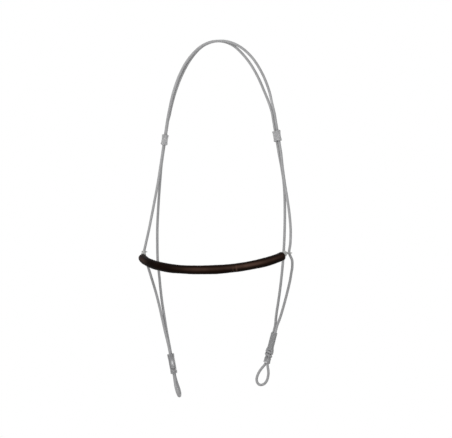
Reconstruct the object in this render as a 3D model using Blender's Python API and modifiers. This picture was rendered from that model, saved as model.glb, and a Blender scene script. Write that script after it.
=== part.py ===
"""Tie-down noseband: a bowed leather tube carried by one long waxed cord that runs doubled over the crown.

The frame is metres, +Z up, with the front of the horse's face towards -Y and the wearer's left cheek at -X.
The origin is the point of the crown that lies over the poll. The doubled cord is modelled in stretches:
the two strands over the crown, the four strands below the noseband and the loop at each lower end.
"""

import math

import bmesh
import bpy
import numpy as np
from mathutils import Matrix, Vector

# Cord
CORD_DIAMETER = 0.0044
CORD_POINT_SPACING = 0.0118
LOOP_POINT_SPACING = 0.0042
LOOP_SKIP = 6  # neighbouring points that don't count as near
ROUTE_SAMPLES = 24  # between two points of a route
BUTT_GAP = 0.0003  # left between two pieces that touch
PAIR_GAP = 0.0004  # left between the two strands where they run doubled

# Noseband tube: a strip of leather rolled round a rope core, bowed as half an ellipse
NOSE_BOW = 0.056
NOSE_DROP = 0.0205
NOSE_END_ANGLE = math.radians(72.8)
NOSE_DIAMETER = 0.0141
LEATHER_THICKNESS = 0.0020
SEAM_GAP = 0.0007
SEAM_ANGLE = math.radians(-50)  # from the horse's side, downwards
CORE_PLAY = 0.00035
CORE_SETBACK = 0.0125
BOW_SAMPLES = 400
COVER_STATIONS = 44
COVER_SIDES = 20

# Noseband eyes: a hairpin of cord out of each end of the tube, round the front strand of the cheek
EYE_DISTANCE = 0.016  # from the tube's end back to the front strand
EYE_INSET = 0.0047  # from halfway between the eyes to a front strand, less half the tube's span
EYE_RISE = 0.0071
NOSE_SHIFT = 0.0023  # from the middle between the eyes to the tube's middle, towards the left eye
NOSE_SLOPE = 0.0195  # rise of the tube towards the right eye, against the line through the eyes
EYE_CORD_DIAMETER = 0.0017
EYE_INNER_RADIUS = 0.0030  # across the neck, from the front strand's centre
EYE_BEARING = 0.0002  # from the strand to the ring's centre, towards the middle of the noseband
EYE_SWING_ROOM = 0.0009  # added to it along the neck, where the strand leans when the noseband tilts
EYE_LEAN = 0.0005  # how far the ring starts above its middle and ends below it
EYE_ROOT = 0.0119  # depth of the hairpin's legs inside the tube
EYE_LIFT = 0.0022  # of the hairpin above the tube's centre line
NECK_SPREAD = 0.0034  # between the centres of the hairpin's legs, one above the other
NECK_CREST = 0.0004  # depth of the neck's far end below the eye
NECK_LENGTH_SHARE = 0.62  # of the level way from the tube's mouth to the strand
EYE_ROOT_SHARES = (1, 0.5)
EYE_NECK_SHARES = (0, 0.25, 0.5, 0.75, 1)  # of the straight neck
EYE_RING_ANGLES = (48, 80, 112, 146, 180, 214, 248, 280, 312)
EYE_STEP_SHARE = 1.3  # of the eye cord's diameter, between two points along it

# Twine seizing on the neck of each eye
SEIZING_TWINE = 0.0015
SEIZING_PITCH = 0.00195
SEIZING_TURNS = 3
SEIZING_START = 0.0022  # from the tube's end to the first turn's centre

# Seam stitching
THREAD_DIAMETER = 0.0009
STITCH_LENGTH = 0.0058
STITCH_REACH = 0.0021  # from the seam's middle to the holes on each side
STITCH_LIFT = 0.0003

# Sleeves on the doubled cord
SLEEVE_PLAY = 0.00035
KEEPER_PLAY = 0.0006
KEEPER_LENGTH = 0.0165
KEEPER_BORE_RADIUS = 0.0033
KEEPER_WALL = 0.0015
KEEPER_FLARE = 0.0004
FLARE_START_SHARE = 0.9  # of a sleeve's half length, from its middle to where its mouth flares
LEFT_SLEEVE_LENGTH = 0.0240
LEFT_SLEEVE_BORE_RADIUS = 0.0039
LEFT_SLEEVE_WALL = 0.0012
LEFT_SLEEVE_FLARE = 0.0006
RIGHT_COLLAR_LENGTH = 0.0088
COLLAR_BORE_RADIUS = 0.0031
COLLAR_WALL = 0.0012

# Windings on the lower ends
LEFT_TWINE = 0.0026
LEFT_PITCH = 0.0031
LEFT_TURNS = 1.5
WHIPPING_TWINE = 0.0014
WHIPPING_PITCH = 0.00187
WHIPPING_TURNS = 15
KNOT_CORD = 0.0027
KNOT_PITCH = 0.0033
KNOT_TURNS = 2.5
WINDING_PLAY = 0.0003
POINTS_PER_TURN = 24
WINDING_GAP = 0.0004  # least gap that a winding keeps to itself
CORNER_SHARE = 0.2  # how softly a winding turns from one strand to the other

# Rounded tips of the strands, where they meet at a pivot
TIP_ANGLES = (18, 38, 62, 90)

# Places along the cords
LEFT_KEEPER_DROP = 0.0296  # from the top of the straight stretch down to the keeper's middle
RIGHT_KEEPER_DROP = 0.0363
LEFT_SLEEVE_ABOVE_END = 0.0066

# The points where the noseband's eyes hold the front strands
LEFT_EYE = (-0.1207, -0.0270, -0.3370)
RIGHT_EYE = (0.1198, -0.0270, -0.3385)

# The heights where the strands of each lower end hinge below the noseband
LEFT_FRONT_PIVOT = (-0.1178, -0.0262, -0.3520)
LEFT_REAR_PIVOT = (-0.1065, 0.0005, -0.3520)
RIGHT_FRONT_PIVOT = (0.1244, -0.0266, -0.3500)
RIGHT_REAR_PIVOT = (0.1022, 0.0005, -0.3500)

# Crown, the strand that carries the noseband: from the left pivot over the poll to the right pivot
OUTER_ROUTE = [
    LEFT_FRONT_PIVOT,
    LEFT_EYE,
    (-0.1191, -0.0259, -0.3270),
    (-0.1146, -0.0217, -0.3020),
    (-0.1111, -0.0167, -0.2780),
    (-0.1077, -0.0107, -0.2520),
    (-0.1044, -0.0050, -0.2260),
    (-0.10037, -0.00237, -0.1960),
    (-0.099285, -0.00237, -0.1890),
    (-0.09169, -0.00237, -0.1400),
    (-0.09076, -0.00237, -0.1340),
    (-0.08983, -0.00237, -0.1280),
    (-0.0880, -0.0024, -0.1180),
    (-0.0855, -0.0023, -0.1060),
    (-0.0800, -0.0022, -0.0830),
    (-0.0701, -0.0022, -0.0560),
    (-0.0558, -0.0022, -0.0305),
    (-0.0356, -0.0024, -0.0100),
    (-0.0185, -0.0024, -0.0018),
    (-0.0033, -0.0024, 0.0),
    (0.0120, -0.0024, -0.0013),
    (0.0319, -0.0022, -0.0096),
    (0.0525, -0.0018, -0.0280),
    (0.0690, -0.0015, -0.0540),
    (0.0795, -0.0012, -0.0800),
    (0.0848, -0.0011, -0.1020),
    (0.088282, -0.00105, -0.1160),
    (0.089318, -0.00105, -0.1220),
    (0.092428, -0.00105, -0.1400),
    (0.098127, -0.00105, -0.1730),
    (0.099163, -0.00105, -0.1790),
    (0.1023, -0.0036, -0.2010),
    (0.1077, -0.0088, -0.2290),
    (0.1138, -0.0145, -0.2560),
    (0.1184, -0.0192, -0.2800),
    (0.1213, -0.0236, -0.3040),
    (0.1213, -0.0263, -0.3250),
    RIGHT_EYE,
    RIGHT_FRONT_PIVOT,
]

# Crown, the strand that runs straight down behind the noseband
INNER_ROUTE = [
    LEFT_REAR_PIVOT,
    (-0.1073, 0.0008, -0.3248),
    (-0.1074, 0.0012, -0.2992),
    (-0.1064, 0.0017, -0.2736),
    (-0.1048, 0.0022, -0.2460),
    (-0.1028, 0.0024, -0.2200),
    (-0.10067, 0.00237, -0.1960),
    (-0.099585, 0.00237, -0.1890),
    (-0.09199, 0.00237, -0.1400),
    (-0.09106, 0.00237, -0.1340),
    (-0.09013, 0.00237, -0.1280),
    (-0.0873, 0.0024, -0.1180),
    (-0.0846, 0.0023, -0.1060),
    (-0.0781, 0.0023, -0.0830),
    (-0.0675, 0.0022, -0.0560),
    (-0.0532, 0.0022, -0.0305),
    (-0.0350, 0.0024, -0.0102),
    (-0.0190, 0.0024, -0.0020),
    (-0.0047, 0.0024, 0.0),
    (0.0095, 0.0024, -0.0028),
    (0.0230, 0.0022, -0.0102),
    (0.0425, 0.0018, -0.0300),
    (0.0585, 0.0015, -0.0545),
    (0.0709, 0.0012, -0.0810),
    (0.0792, 0.0011, -0.1010),
    (0.083982, 0.00105, -0.1160),
    (0.085018, 0.00105, -0.1220),
    (0.088128, 0.00105, -0.1400),
    (0.093827, 0.00105, -0.1730),
    (0.094863, 0.00105, -0.1790),
    (0.0990, 0.0011, -0.2000),
    (0.1028, 0.0010, -0.2240),
    (0.1046, 0.0010, -0.2480),
    (0.1050, 0.0009, -0.2740),
    (0.1047, 0.0008, -0.3000),
    (0.1038, 0.0006, -0.3250),
    RIGHT_REAR_PIVOT,
]

# Lower ends: from the pivots to the sleeves
LEFT_FRONT_LEG_ROUTE = [
    LEFT_FRONT_PIVOT,
    (-0.1146, -0.0236, -0.3640),
    (-0.1104, -0.0176, -0.3825),
    (-0.1063, -0.0115, -0.4016),
    (-0.1024, -0.0062, -0.4220),
    (-0.0981, -0.0031, -0.4440),
    (-0.0936, -0.0024, -0.4640),
    (-0.0869, -0.00238, -0.4910),
    (-0.0840, -0.00238, -0.5065),
    (-0.0814, -0.00238, -0.5200),
]
LEFT_REAR_LEG_ROUTE = [
    LEFT_REAR_PIVOT,
    (-0.1042, 0.0005, -0.3740),
    (-0.1020, 0.0006, -0.3960),
    (-0.0994, 0.0010, -0.4180),
    (-0.0957, 0.0018, -0.4420),
    (-0.0922, 0.0023, -0.4640),
    (-0.0869, 0.00238, -0.4910),
    (-0.0840, 0.00238, -0.5065),
    (-0.0814, 0.00238, -0.5200),
]
RIGHT_FRONT_LEG_ROUTE = [
    RIGHT_FRONT_PIVOT,
    (0.1246, -0.0258, -0.3570),
    (0.1240, -0.0246, -0.3632),
    (0.1223, -0.0228, -0.3696),
    (0.1188, -0.0182, -0.3825),
    (0.1125, -0.0120, -0.4016),
    (0.1054, -0.0064, -0.4220),
    (0.0981, -0.0028, -0.4425),
    (0.09282, -0.00150, -0.4550),
    (0.09087, -0.00146, -0.4620),
    (0.08347, -0.00146, -0.4900),
    (0.07817, -0.00146, -0.5100),
]
RIGHT_REAR_LEG_ROUTE = [
    RIGHT_REAR_PIVOT,
    (0.0999, 0.0005, -0.3740),
    (0.0973, 0.0005, -0.3960),
    (0.0941, 0.0006, -0.4180),
    (0.0907, 0.0010, -0.4385),
    (0.08886, 0.00140, -0.4550),
    (0.08705, 0.00146, -0.4620),
    (0.07965, 0.00146, -0.4900),
    (0.07435, 0.00146, -0.5100),
]

# Loops, from the front strand round to the rear strand
LEFT_LOOP_ROUTE = [
    (-0.08134, -0.00238, -0.5203),
    (-0.08015, -0.00238, -0.5265),
    (-0.0787, -0.00240, -0.5340),
    (-0.0770, -0.0038, -0.5425),
    (-0.0752, -0.0058, -0.5505),
    (-0.0732, -0.0070, -0.5580),
    (-0.0713, -0.0058, -0.5645),
    (-0.0702, -0.0026, -0.5683),
    (-0.0700, 0.0026, -0.5683),
    (-0.0708, 0.0058, -0.5645),
    (-0.0726, 0.0070, -0.5580),
    (-0.0750, 0.0058, -0.5505),
    (-0.0770, 0.0038, -0.5425),
    (-0.0787, 0.00240, -0.5340),
    (-0.08015, 0.00238, -0.5265),
    (-0.08134, 0.00238, -0.5203),
]
RIGHT_LOOP_ROUTE = [
    (0.07809, -0.00146, -0.5103),
    (0.07695, -0.00146, -0.5147),
    (0.0773, -0.0015, -0.5200),
    (0.0784, -0.0014, -0.5280),
    (0.0779, -0.0010, -0.5350),
    (0.0761, -0.0006, -0.5415),
    (0.0725, -0.0002, -0.5468),
    (0.0680, 0.0002, -0.5493),
    (0.0635, 0.0005, -0.5494),
    (0.0600, 0.0008, -0.5468),
    (0.0583, 0.0011, -0.5420),
    (0.0592, 0.0013, -0.5358),
    (0.0624, 0.0014, -0.5290),
    (0.0669, 0.00146, -0.5228),
    (0.07295, 0.00146, -0.5154),
    (0.07427, 0.00146, -0.5103),
]

CORD_GREY = (0.36, 0.36, 0.37)
PALE_TWINE = (0.52, 0.50, 0.46)
DARK_LEATHER = (0.016, 0.009, 0.007)
ROPE_TAN = (0.30, 0.24, 0.16)
THREAD_BROWN = (0.05, 0.035, 0.025)
SLEEVE_GREY = (0.40, 0.40, 0.41)

CORD_RADIUS = CORD_DIAMETER / 2
PAIR_HALF_APART = (CORD_DIAMETER + PAIR_GAP) / 2  # from the middle of the doubled cord to a strand's centre
NOSE_HALF_SPAN = math.dist(LEFT_EYE, RIGHT_EYE) / 2 - EYE_INSET
NOSE_RADIUS = NOSE_DIAMETER / 2
BORE_RADIUS = NOSE_RADIUS - LEATHER_THICKNESS
CORE_RADIUS = BORE_RADIUS - CORE_PLAY


def clear_scene():
    for old in list(bpy.data.objects):
        bpy.data.objects.remove(old, do_unlink=True)


def new_material(name, colour, roughness):
    material = bpy.data.materials.new(name)
    material.use_nodes = True
    shader = material.node_tree.nodes["Principled BSDF"]
    shader.inputs["Base Color"].default_value = (*colour, 1.0)
    shader.inputs["Roughness"].default_value = roughness
    shader.inputs["Metallic"].default_value = 0.0
    material.diffuse_color = (*colour, 1.0)
    return material


def finish_piece(piece, colour, roughness, parent=None):
    """Gives a piece its material and its parent, and puts it in the part's collection."""
    piece.data.materials.append(new_material(piece.name, colour, roughness))
    part.objects.link(piece)
    if parent is not None:
        piece.parent = parent
    return piece


def smooth_route(points, spacing):
    """A centripetal Catmull-Rom curve through the points, cut into even steps of about the spacing."""
    p = [np.array(q, float) for q in points]
    p = [2 * p[0] - p[1]] + p + [2 * p[-1] - p[-2]]
    dense = []
    for a, b, c, d in zip(p, p[1:], p[2:], p[3:]):
        ta = 0.0
        tb = ta + math.sqrt(np.linalg.norm(b - a))
        tc = tb + math.sqrt(np.linalg.norm(c - b))
        td = tc + math.sqrt(np.linalg.norm(d - c))
        for t in np.linspace(tb, tc, ROUTE_SAMPLES, endpoint=False):
            ab = a + (b - a) * (t - ta) / (tb - ta)
            bc = b + (c - b) * (t - tb) / (tc - tb)
            cd = c + (d - c) * (t - tc) / (td - tc)
            abc = ab + (bc - ab) * (t - ta) / (tc - ta)
            bcd = bc + (cd - bc) * (t - tb) / (td - tb)
            dense.append(abc + (bcd - abc) * (t - tb) / (tc - tb))
    dense.append(p[-2])
    return even_steps(np.array(dense), spacing)


def even_steps(dense, spacing):
    """The same line with its points at even distances of about the spacing."""
    lengths = np.concatenate([[0.0], np.cumsum(np.linalg.norm(np.diff(dense, axis=0), axis=1))])
    count = max(3, round(lengths[-1] / spacing) + 1)
    at = np.linspace(0.0, lengths[-1], count)
    return np.stack([np.interp(at, lengths, dense[:, k]) for k in range(3)], axis=1)


def tube(name, points, radius, sides_level, radii=None):
    """A tube along the points: a poly curve with filled caps."""
    data = bpy.data.curves.new(name, "CURVE")
    data.dimensions = "3D"
    data.bevel_depth = radius
    data.bevel_resolution = sides_level
    data.use_fill_caps = True
    line = data.splines.new("POLY")
    line.points.add(len(points) - 1)
    for n, point in enumerate(points):
        line.points[n].co = (*point, 1.0)
        line.points[n].radius = 1.0 if radii is None else radii[n]
    return bpy.data.objects.new(name, data)


def round_tip(points, radius, at_start):
    """Ends a line in a half-round tip: the points of the tip, and their share of the tube's radius."""
    ordered = points if at_start else points[::-1]
    tip = ordered[0]
    inward = (ordered[1] - tip) / np.linalg.norm(ordered[1] - tip)
    start = tip + inward * BUTT_GAP / 2
    angles = [math.radians(a) for a in TIP_ANGLES]
    tips = [start + inward * (radius - radius * math.cos(a)) for a in angles]
    shares = [math.sin(a) for a in angles]
    return tips, shares


def strand(name, route, round_start=False, round_end=False):
    """A stretch of the cord along its route. A rounded end meets the next stretch at a pivot."""
    points = list(smooth_route(route, CORD_POINT_SPACING))
    body, shares = points, [1.0] * len(points)
    if round_start:
        tips, tip_shares = round_tip(points, CORD_RADIUS, True)
        body, shares = tips + body[1:], tip_shares + shares[1:]
    if round_end:
        tips, tip_shares = round_tip(points, CORD_RADIUS, False)
        body, shares = body[:-1] + tips[::-1], shares[:-1] + tip_shares[::-1]
    return finish_piece(tube(name, body, CORD_RADIUS, 2, shares), CORD_GREY, 0.55)


def least_gap(points, radius, skip):
    """The least distance from a tube's surface to itself, leaving out points within skip steps along it."""
    p = np.asarray(points)
    return min(
        float(np.linalg.norm(p[n + skip :] - p[n], axis=1).min()) - 2 * radius
        for n in range(len(p) - skip)
    )


def frame_matrix(origin, axis, across):
    """A placement whose local Z is the axis and whose local X is nearest to the across direction."""
    z = Vector(axis).normalized()
    x = (Vector(across) - z * Vector(across).dot(z)).normalized()
    y = z.cross(x)
    return Matrix.Translation(Vector(origin)) @ Matrix((x, y, z)).transposed().to_4x4()


def pair_frame(high_a, high_b, low_a, low_b, distance):
    """The placement on two parallel strands, a distance below their high points: Z up them, X from b to a."""
    high = (np.array(high_a) + np.array(high_b)) / 2
    low = (np.array(low_a) + np.array(low_b)) / 2
    down = (low - high) / np.linalg.norm(low - high)
    return frame_matrix(high + down * distance, -down, np.array(low_a) - np.array(low_b))


def sleeve(name, place, length, play, bore_radius, wall, flare_top, flare_foot):
    """An oval sleeve round two strands that lie along its local X: an open tube, spread and thickened."""
    spread = PAIR_HALF_APART + CORD_RADIUS + play - bore_radius
    mesh = bpy.data.meshes.new(name)
    bm = bmesh.new()
    bmesh.ops.create_cone(
        bm, cap_ends=False, segments=24, radius1=bore_radius, radius2=bore_radius, depth=length
    )
    upright = [e for e in bm.edges if abs(e.verts[0].co.z - e.verts[1].co.z) > length / 2]
    bmesh.ops.subdivide_edges(bm, edges=upright, cuts=4)
    for v in bm.verts:
        outward = Vector((v.co.x, v.co.y, 0)).normalized()
        if abs(v.co.x) > bore_radius / 100:
            v.co.x += math.copysign(spread, v.co.x)
        if abs(v.co.z) > length / 2 * FLARE_START_SHARE:
            v.co += outward * (flare_top if v.co.z > 0 else flare_foot)
    bm.to_mesh(mesh)
    bm.free()
    mesh.shade_smooth()
    mesh.set_sharp_from_angle(angle=math.radians(40))
    piece = bpy.data.objects.new(name, mesh)
    shell = piece.modifiers.new("wall", "SOLIDIFY")
    shell.thickness = wall
    shell.offset = 1.0
    shell.use_even_offset = True
    piece.matrix_world = place
    return finish_piece(piece, SLEEVE_GREY, 0.4)


def winding(name, place, half_apart, held_radius, twine, pitch, turns, colour, parent=None):
    """Turns of twine, one unbroken tube, round two strands that lie along local X. Its ends run straight."""
    reach = held_radius + WINDING_PLAY + twine / 2
    angle = np.linspace(0.0, 2 * math.pi * turns, round(POINTS_PER_TURN * turns) + 1)
    toward_strand = np.cos(angle) / np.sqrt(np.cos(angle) ** 2 + CORNER_SHARE**2)
    coil = np.stack(
        [
            half_apart * toward_strand + reach * np.cos(angle),
            reach * np.sin(angle),
            pitch * (turns / 2 - angle / (2 * math.pi)),
        ],
        axis=1,
    )
    first = (coil[0] - coil[1]) / np.linalg.norm(coil[0] - coil[1])
    last = (coil[-1] - coil[-2]) / np.linalg.norm(coil[-1] - coil[-2])
    points = np.vstack([coil[0] + first * twine, coil, coil[-1] + last * twine])
    gap = least_gap(points, twine / 2, POINTS_PER_TURN // 2)
    print(f"{name}: least gap to itself {gap:.5f} m, more than {WINDING_GAP} m: {gap > WINDING_GAP}")
    piece = tube(name, points, twine / 2, 1)
    piece.matrix_world = place
    return finish_piece(piece, colour, 0.5, parent)


def bow_points(count):
    """The centre line of the noseband's tube in its own frame, from the left end to the right end."""
    half_length = NOSE_HALF_SPAN / math.sin(NOSE_END_ANGLE)
    half_bow = NOSE_BOW / (1 - math.cos(NOSE_END_ANGLE))
    t = np.linspace(-NOSE_END_ANGLE, NOSE_END_ANGLE, BOW_SAMPLES)
    forward = NOSE_BOW - half_bow * (1 - np.cos(t))
    across = half_length * np.sin(t)
    dense = np.stack(
        [
            across - NOSE_SHIFT,
            -EYE_DISTANCE - forward,
            NOSE_SLOPE * across - EYE_RISE - NOSE_DROP * forward / NOSE_BOW,
        ],
        axis=1,
    )
    lengths = np.concatenate([[0.0], np.cumsum(np.linalg.norm(np.diff(dense, axis=0), axis=1))])
    at = np.linspace(0.0, lengths[-1], count)
    return np.stack([np.interp(at, lengths, dense[:, k]) for k in range(3)], axis=1), lengths[-1]


def bow_frames(points):
    """For each point of the bow: its direction, the side that faces the horse, and the side that faces up."""
    direction = np.gradient(points, axis=0)
    direction /= np.linalg.norm(direction, axis=1)[:, None]
    bow_normal = np.cross([1, 0, NOSE_SLOPE], [0, NOSE_BOW, NOSE_DROP])
    bow_normal /= np.linalg.norm(bow_normal)
    inward = np.cross(bow_normal, direction)
    inward /= np.linalg.norm(inward, axis=1)[:, None]
    return direction, inward, np.cross(direction, inward)


def on_bow(frames, points, index, angle, radius):
    """A point on a circle round the bow: angle 0 faces the horse, and it turns upwards."""
    _, inward, up = frames
    return points[index] + radius * (math.cos(angle) * inward[index] + math.sin(angle) * up[index])


def nose_cover(pivot):
    """A leather strip rolled lengthwise round the core, its two long edges a seam's width apart."""
    points, length = bow_points(COVER_STATIONS)
    frames = bow_frames(points)
    half_gap = SEAM_GAP / 2 / BORE_RADIUS
    mesh = bpy.data.meshes.new("nose_leather_cover")
    bm = bmesh.new()
    bmesh.ops.create_grid(bm, x_segments=COVER_STATIONS - 1, y_segments=COVER_SIDES, size=1.0)
    for v in bm.verts:
        index = round((v.co.x + 1) / 2 * (COVER_STATIONS - 1))
        turn = (v.co.y + 1) / 2
        angle = SEAM_ANGLE + half_gap + turn * (2 * math.pi - 2 * half_gap)
        v.co = Vector(on_bow(frames, points, index, angle, BORE_RADIUS))
    bm.to_mesh(mesh)
    bm.free()
    mesh.shade_smooth()
    piece = bpy.data.objects.new("nose_leather_cover", mesh)
    leather = piece.modifiers.new("leather", "SOLIDIFY")
    leather.thickness = LEATHER_THICKNESS
    leather.offset = -1.0
    leather.use_even_offset = True
    print(f"noseband tube: {length:.4f} m along its curve")
    return finish_piece(piece, DARK_LEATHER, 0.45, pivot)


def nose_core(pivot):
    """The rope inside the leather, which keeps the bow's shape. It stops short of the tube's ends."""
    points, length = bow_points(BOW_SAMPLES)
    keep = round(CORE_SETBACK / length * (BOW_SAMPLES - 1))
    line = even_steps(points[keep:-keep], NOSE_DIAMETER / 2)
    return finish_piece(tube("nose_rope_core", line, CORE_RADIUS, 3), ROPE_TAN, 0.8, pivot)


def seam_stitching(pivot):
    """One thread that zigzags along the seam from hole to hole."""
    points, length = bow_points(BOW_SAMPLES)
    frames = bow_frames(points)
    stitches = round(length / STITCH_LENGTH) - 2
    lift = NOSE_RADIUS + STITCH_LIFT + THREAD_DIAMETER / 2
    reach = STITCH_REACH / NOSE_RADIUS
    line = []
    for n in range(stitches + 1):
        index = round((n + 1) / (stitches + 2) * (BOW_SAMPLES - 1))
        side = 1 if n % 2 else -1
        line.append(on_bow(frames, points, index, SEAM_ANGLE + side * reach, lift / math.cos(reach)))
        if n < stitches:
            middle = round((n + 1.5) / (stitches + 2) * (BOW_SAMPLES - 1))
            line.append(on_bow(frames, points, middle, SEAM_ANGLE, lift / math.cos(reach)))
    return finish_piece(tube("nose_seam_thread", line, THREAD_DIAMETER / 2, 1), THREAD_BROWN, 0.7, pivot)


def eye_neck(side, half_eyes):
    """An eye's middle line inside the tube, its straight neck's two ends, its centre and the level way out."""
    points, length = bow_points(BOW_SAMPLES)
    if side < 0:
        points = points[::-1]
    lift = np.array([0.0, 0.0, EYE_LIFT])
    steps = [round(EYE_ROOT * share / length * (BOW_SAMPLES - 1)) for share in EYE_ROOT_SHARES]
    inside = [points[-1 - step] + lift for step in steps]
    mouth = points[-1]
    eye = np.array([side * (half_eyes - EYE_BEARING), 0.0, 0.0])
    level = np.array([eye[0] - mouth[0], eye[1] - mouth[1], 0.0])
    crest = mouth + level * NECK_LENGTH_SHARE
    crest[2] = -NECK_CREST
    return inside, mouth + lift, crest, eye, level / np.linalg.norm(level)


def neck_frame(mouth, crest):
    """The direction of an eye's neck, and the direction from its lower leg to its upper leg."""
    along = (crest - mouth) / np.linalg.norm(crest - mouth)
    upper = np.array([0.0, 0.0, 1.0]) - along * along[2]
    return along, upper / np.linalg.norm(upper)


def nose_eye(side, name, half_eyes, pivot):
    """A hairpin of cord: two legs out of the tube, one above the other, that open round the front strand."""
    inside, mouth, crest, eye, level = eye_neck(side, half_eyes)
    along, upper = neck_frame(mouth, crest)
    across = np.array([-level[1], level[0], 0.0])
    sideways = EYE_INNER_RADIUS + EYE_CORD_DIAMETER / 2
    outwards = sideways + EYE_SWING_ROOM
    ring = []
    for degrees in EYE_RING_ANGLES:
        a = math.radians(degrees)
        point = eye + sideways * math.sin(a) * across - outwards * math.cos(a) * level
        point[2] += EYE_LEAN * math.cos(a / 2)
        ring.append(point)
    spine = inside + [mouth + (crest - mouth) * share for share in EYE_NECK_SHARES]
    upper_leg = [p + NECK_SPREAD / 2 * upper for p in spine]
    lower_leg = [p - NECK_SPREAD / 2 * upper for p in spine]
    points = smooth_route(upper_leg + ring + lower_leg[::-1], EYE_CORD_DIAMETER * EYE_STEP_SHARE)
    return finish_piece(tube(name, points, EYE_CORD_DIAMETER / 2, 2), PALE_TWINE, 0.6, pivot)


def nose_seizing(side, name, half_eyes, pivot):
    """Turns of twine round the neck of an eye, between the tube's end and the front strand."""
    _, mouth, crest, _, _ = eye_neck(side, half_eyes)
    along, upper = neck_frame(mouth, crest)
    middle = mouth + along * (SEIZING_START + SEIZING_PITCH * SEIZING_TURNS / 2)
    return winding(
        name,
        frame_matrix(middle, along, upper),
        NECK_SPREAD / 2,
        EYE_CORD_DIAMETER / 2,
        SEIZING_TWINE,
        SEIZING_PITCH,
        SEIZING_TURNS,
        PALE_TWINE,
        pivot,
    )


def noseband():
    """The tube with its core, seam and eyes, under an empty on the line through the two eyes."""
    left, right = Vector(LEFT_EYE), Vector(RIGHT_EYE)
    pivot = bpy.data.objects.new("noseband_pivot", None)
    part.objects.link(pivot)
    pivot.matrix_world = frame_matrix((left + right) / 2, (0, 0, 1), right - left)
    tilt = math.atan2(right.z - left.z, right.x - left.x)
    pivot.rotation_euler = (0, -tilt, 0)
    half_eyes = (right - left).length / 2
    nose_cover(pivot)
    nose_core(pivot)
    seam_stitching(pivot)
    for side, word in ((-1, "left"), (1, "right")):
        nose_eye(side, f"{word}_nose_eye", half_eyes, pivot)
        nose_seizing(side, f"{word}_nose_seizing", half_eyes, pivot)


def keeper(name, outer_high, inner_high, outer_low, inner_low, drop):
    """A short oval sleeve that holds the two strands together and slides on their straight stretch."""
    high = (np.array(outer_high) + np.array(inner_high)) / 2
    low = (np.array(outer_low) + np.array(inner_low)) / 2
    distance = drop * np.linalg.norm(high - low) / (high[2] - low[2])
    place = pair_frame(outer_high, inner_high, outer_low, inner_low, distance)
    size = (KEEPER_LENGTH, KEEPER_PLAY, KEEPER_BORE_RADIUS, KEEPER_WALL)
    sleeve(name, place, *size, KEEPER_FLARE, KEEPER_FLARE)


def below(place, distance):
    """The same placement, moved down its own axis."""
    return place @ Matrix.Translation((0, 0, -distance))


def left_fittings():
    """The long plain sleeve over the cord's bight, and the short winding under it."""
    front, rear = LEFT_FRONT_LEG_ROUTE, LEFT_REAR_LEG_ROUTE
    stretch = np.linalg.norm(np.array(front[-1]) - np.array(front[-2]))
    place = pair_frame(front[-2], rear[-2], front[-1], rear[-1], stretch - LEFT_SLEEVE_ABOVE_END)
    size = (LEFT_SLEEVE_LENGTH, SLEEVE_PLAY, LEFT_SLEEVE_BORE_RADIUS, LEFT_SLEEVE_WALL)
    sleeve("left_loop_sleeve", place, *size, LEFT_SLEEVE_FLARE, 0)
    half_height = (LEFT_PITCH * LEFT_TURNS + LEFT_TWINE) / 2
    winding(
        "left_end_winding",
        below(place, LEFT_SLEEVE_LENGTH / 2 + 2 * BUTT_GAP + half_height),
        PAIR_HALF_APART,
        CORD_RADIUS,
        LEFT_TWINE,
        LEFT_PITCH,
        LEFT_TURNS,
        CORD_GREY,
    )


def right_fittings():
    """The whipping, the knot and the collar that hold the cord's two ends above the right loop."""
    front, rear = RIGHT_FRONT_LEG_ROUTE, RIGHT_REAR_LEG_ROUTE
    stretch = np.linalg.norm(np.array(front[-1]) - np.array(front[-2]))
    collar = pair_frame(front[-2], rear[-2], front[-1], rear[-1], stretch)
    size = (RIGHT_COLLAR_LENGTH, SLEEVE_PLAY, COLLAR_BORE_RADIUS, COLLAR_WALL)
    sleeve("right_loop_collar", collar, *size, 0, 0)
    knot_half = (KNOT_PITCH * KNOT_TURNS + KNOT_CORD) / 2
    knot = below(collar, -(RIGHT_COLLAR_LENGTH / 2 + 2 * BUTT_GAP + knot_half))
    winding(
        "right_end_knot",
        knot,
        PAIR_HALF_APART,
        CORD_RADIUS,
        KNOT_CORD,
        KNOT_PITCH,
        KNOT_TURNS,
        CORD_GREY,
    )
    whipping_half = (WHIPPING_PITCH * WHIPPING_TURNS + WHIPPING_TWINE) / 2
    whipping = below(knot, -(knot_half + 2 * BUTT_GAP + whipping_half))
    winding(
        "right_end_whipping",
        whipping,
        PAIR_HALF_APART,
        CORD_RADIUS,
        WHIPPING_TWINE,
        WHIPPING_PITCH,
        WHIPPING_TURNS,
        CORD_GREY,
    )


def loop(name, route):
    """A loop of the cord that the strap of the tie-down clips to."""
    points = smooth_route(route, LOOP_POINT_SPACING)
    gap = least_gap(points, CORD_RADIUS, LOOP_SKIP)
    print(f"{name}: least gap to itself {gap:.5f} m")
    finish_piece(tube(name, points, CORD_RADIUS, 2), CORD_GREY, 0.55)


def headstall():
    """The two strands over the crown, between the pivots below the noseband."""
    strand("crown_outer_cord", OUTER_ROUTE, round_start=True, round_end=True)
    strand("crown_inner_cord", INNER_ROUTE, round_start=True, round_end=True)
    left_straight = (OUTER_ROUTE[11], INNER_ROUTE[10], OUTER_ROUTE[7], INNER_ROUTE[6])
    right_straight = (OUTER_ROUTE[26], INNER_ROUTE[25], OUTER_ROUTE[30], INNER_ROUTE[29])
    keeper("left_cheek_keeper", *left_straight, LEFT_KEEPER_DROP)
    keeper("right_cheek_keeper", *right_straight, RIGHT_KEEPER_DROP)


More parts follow.
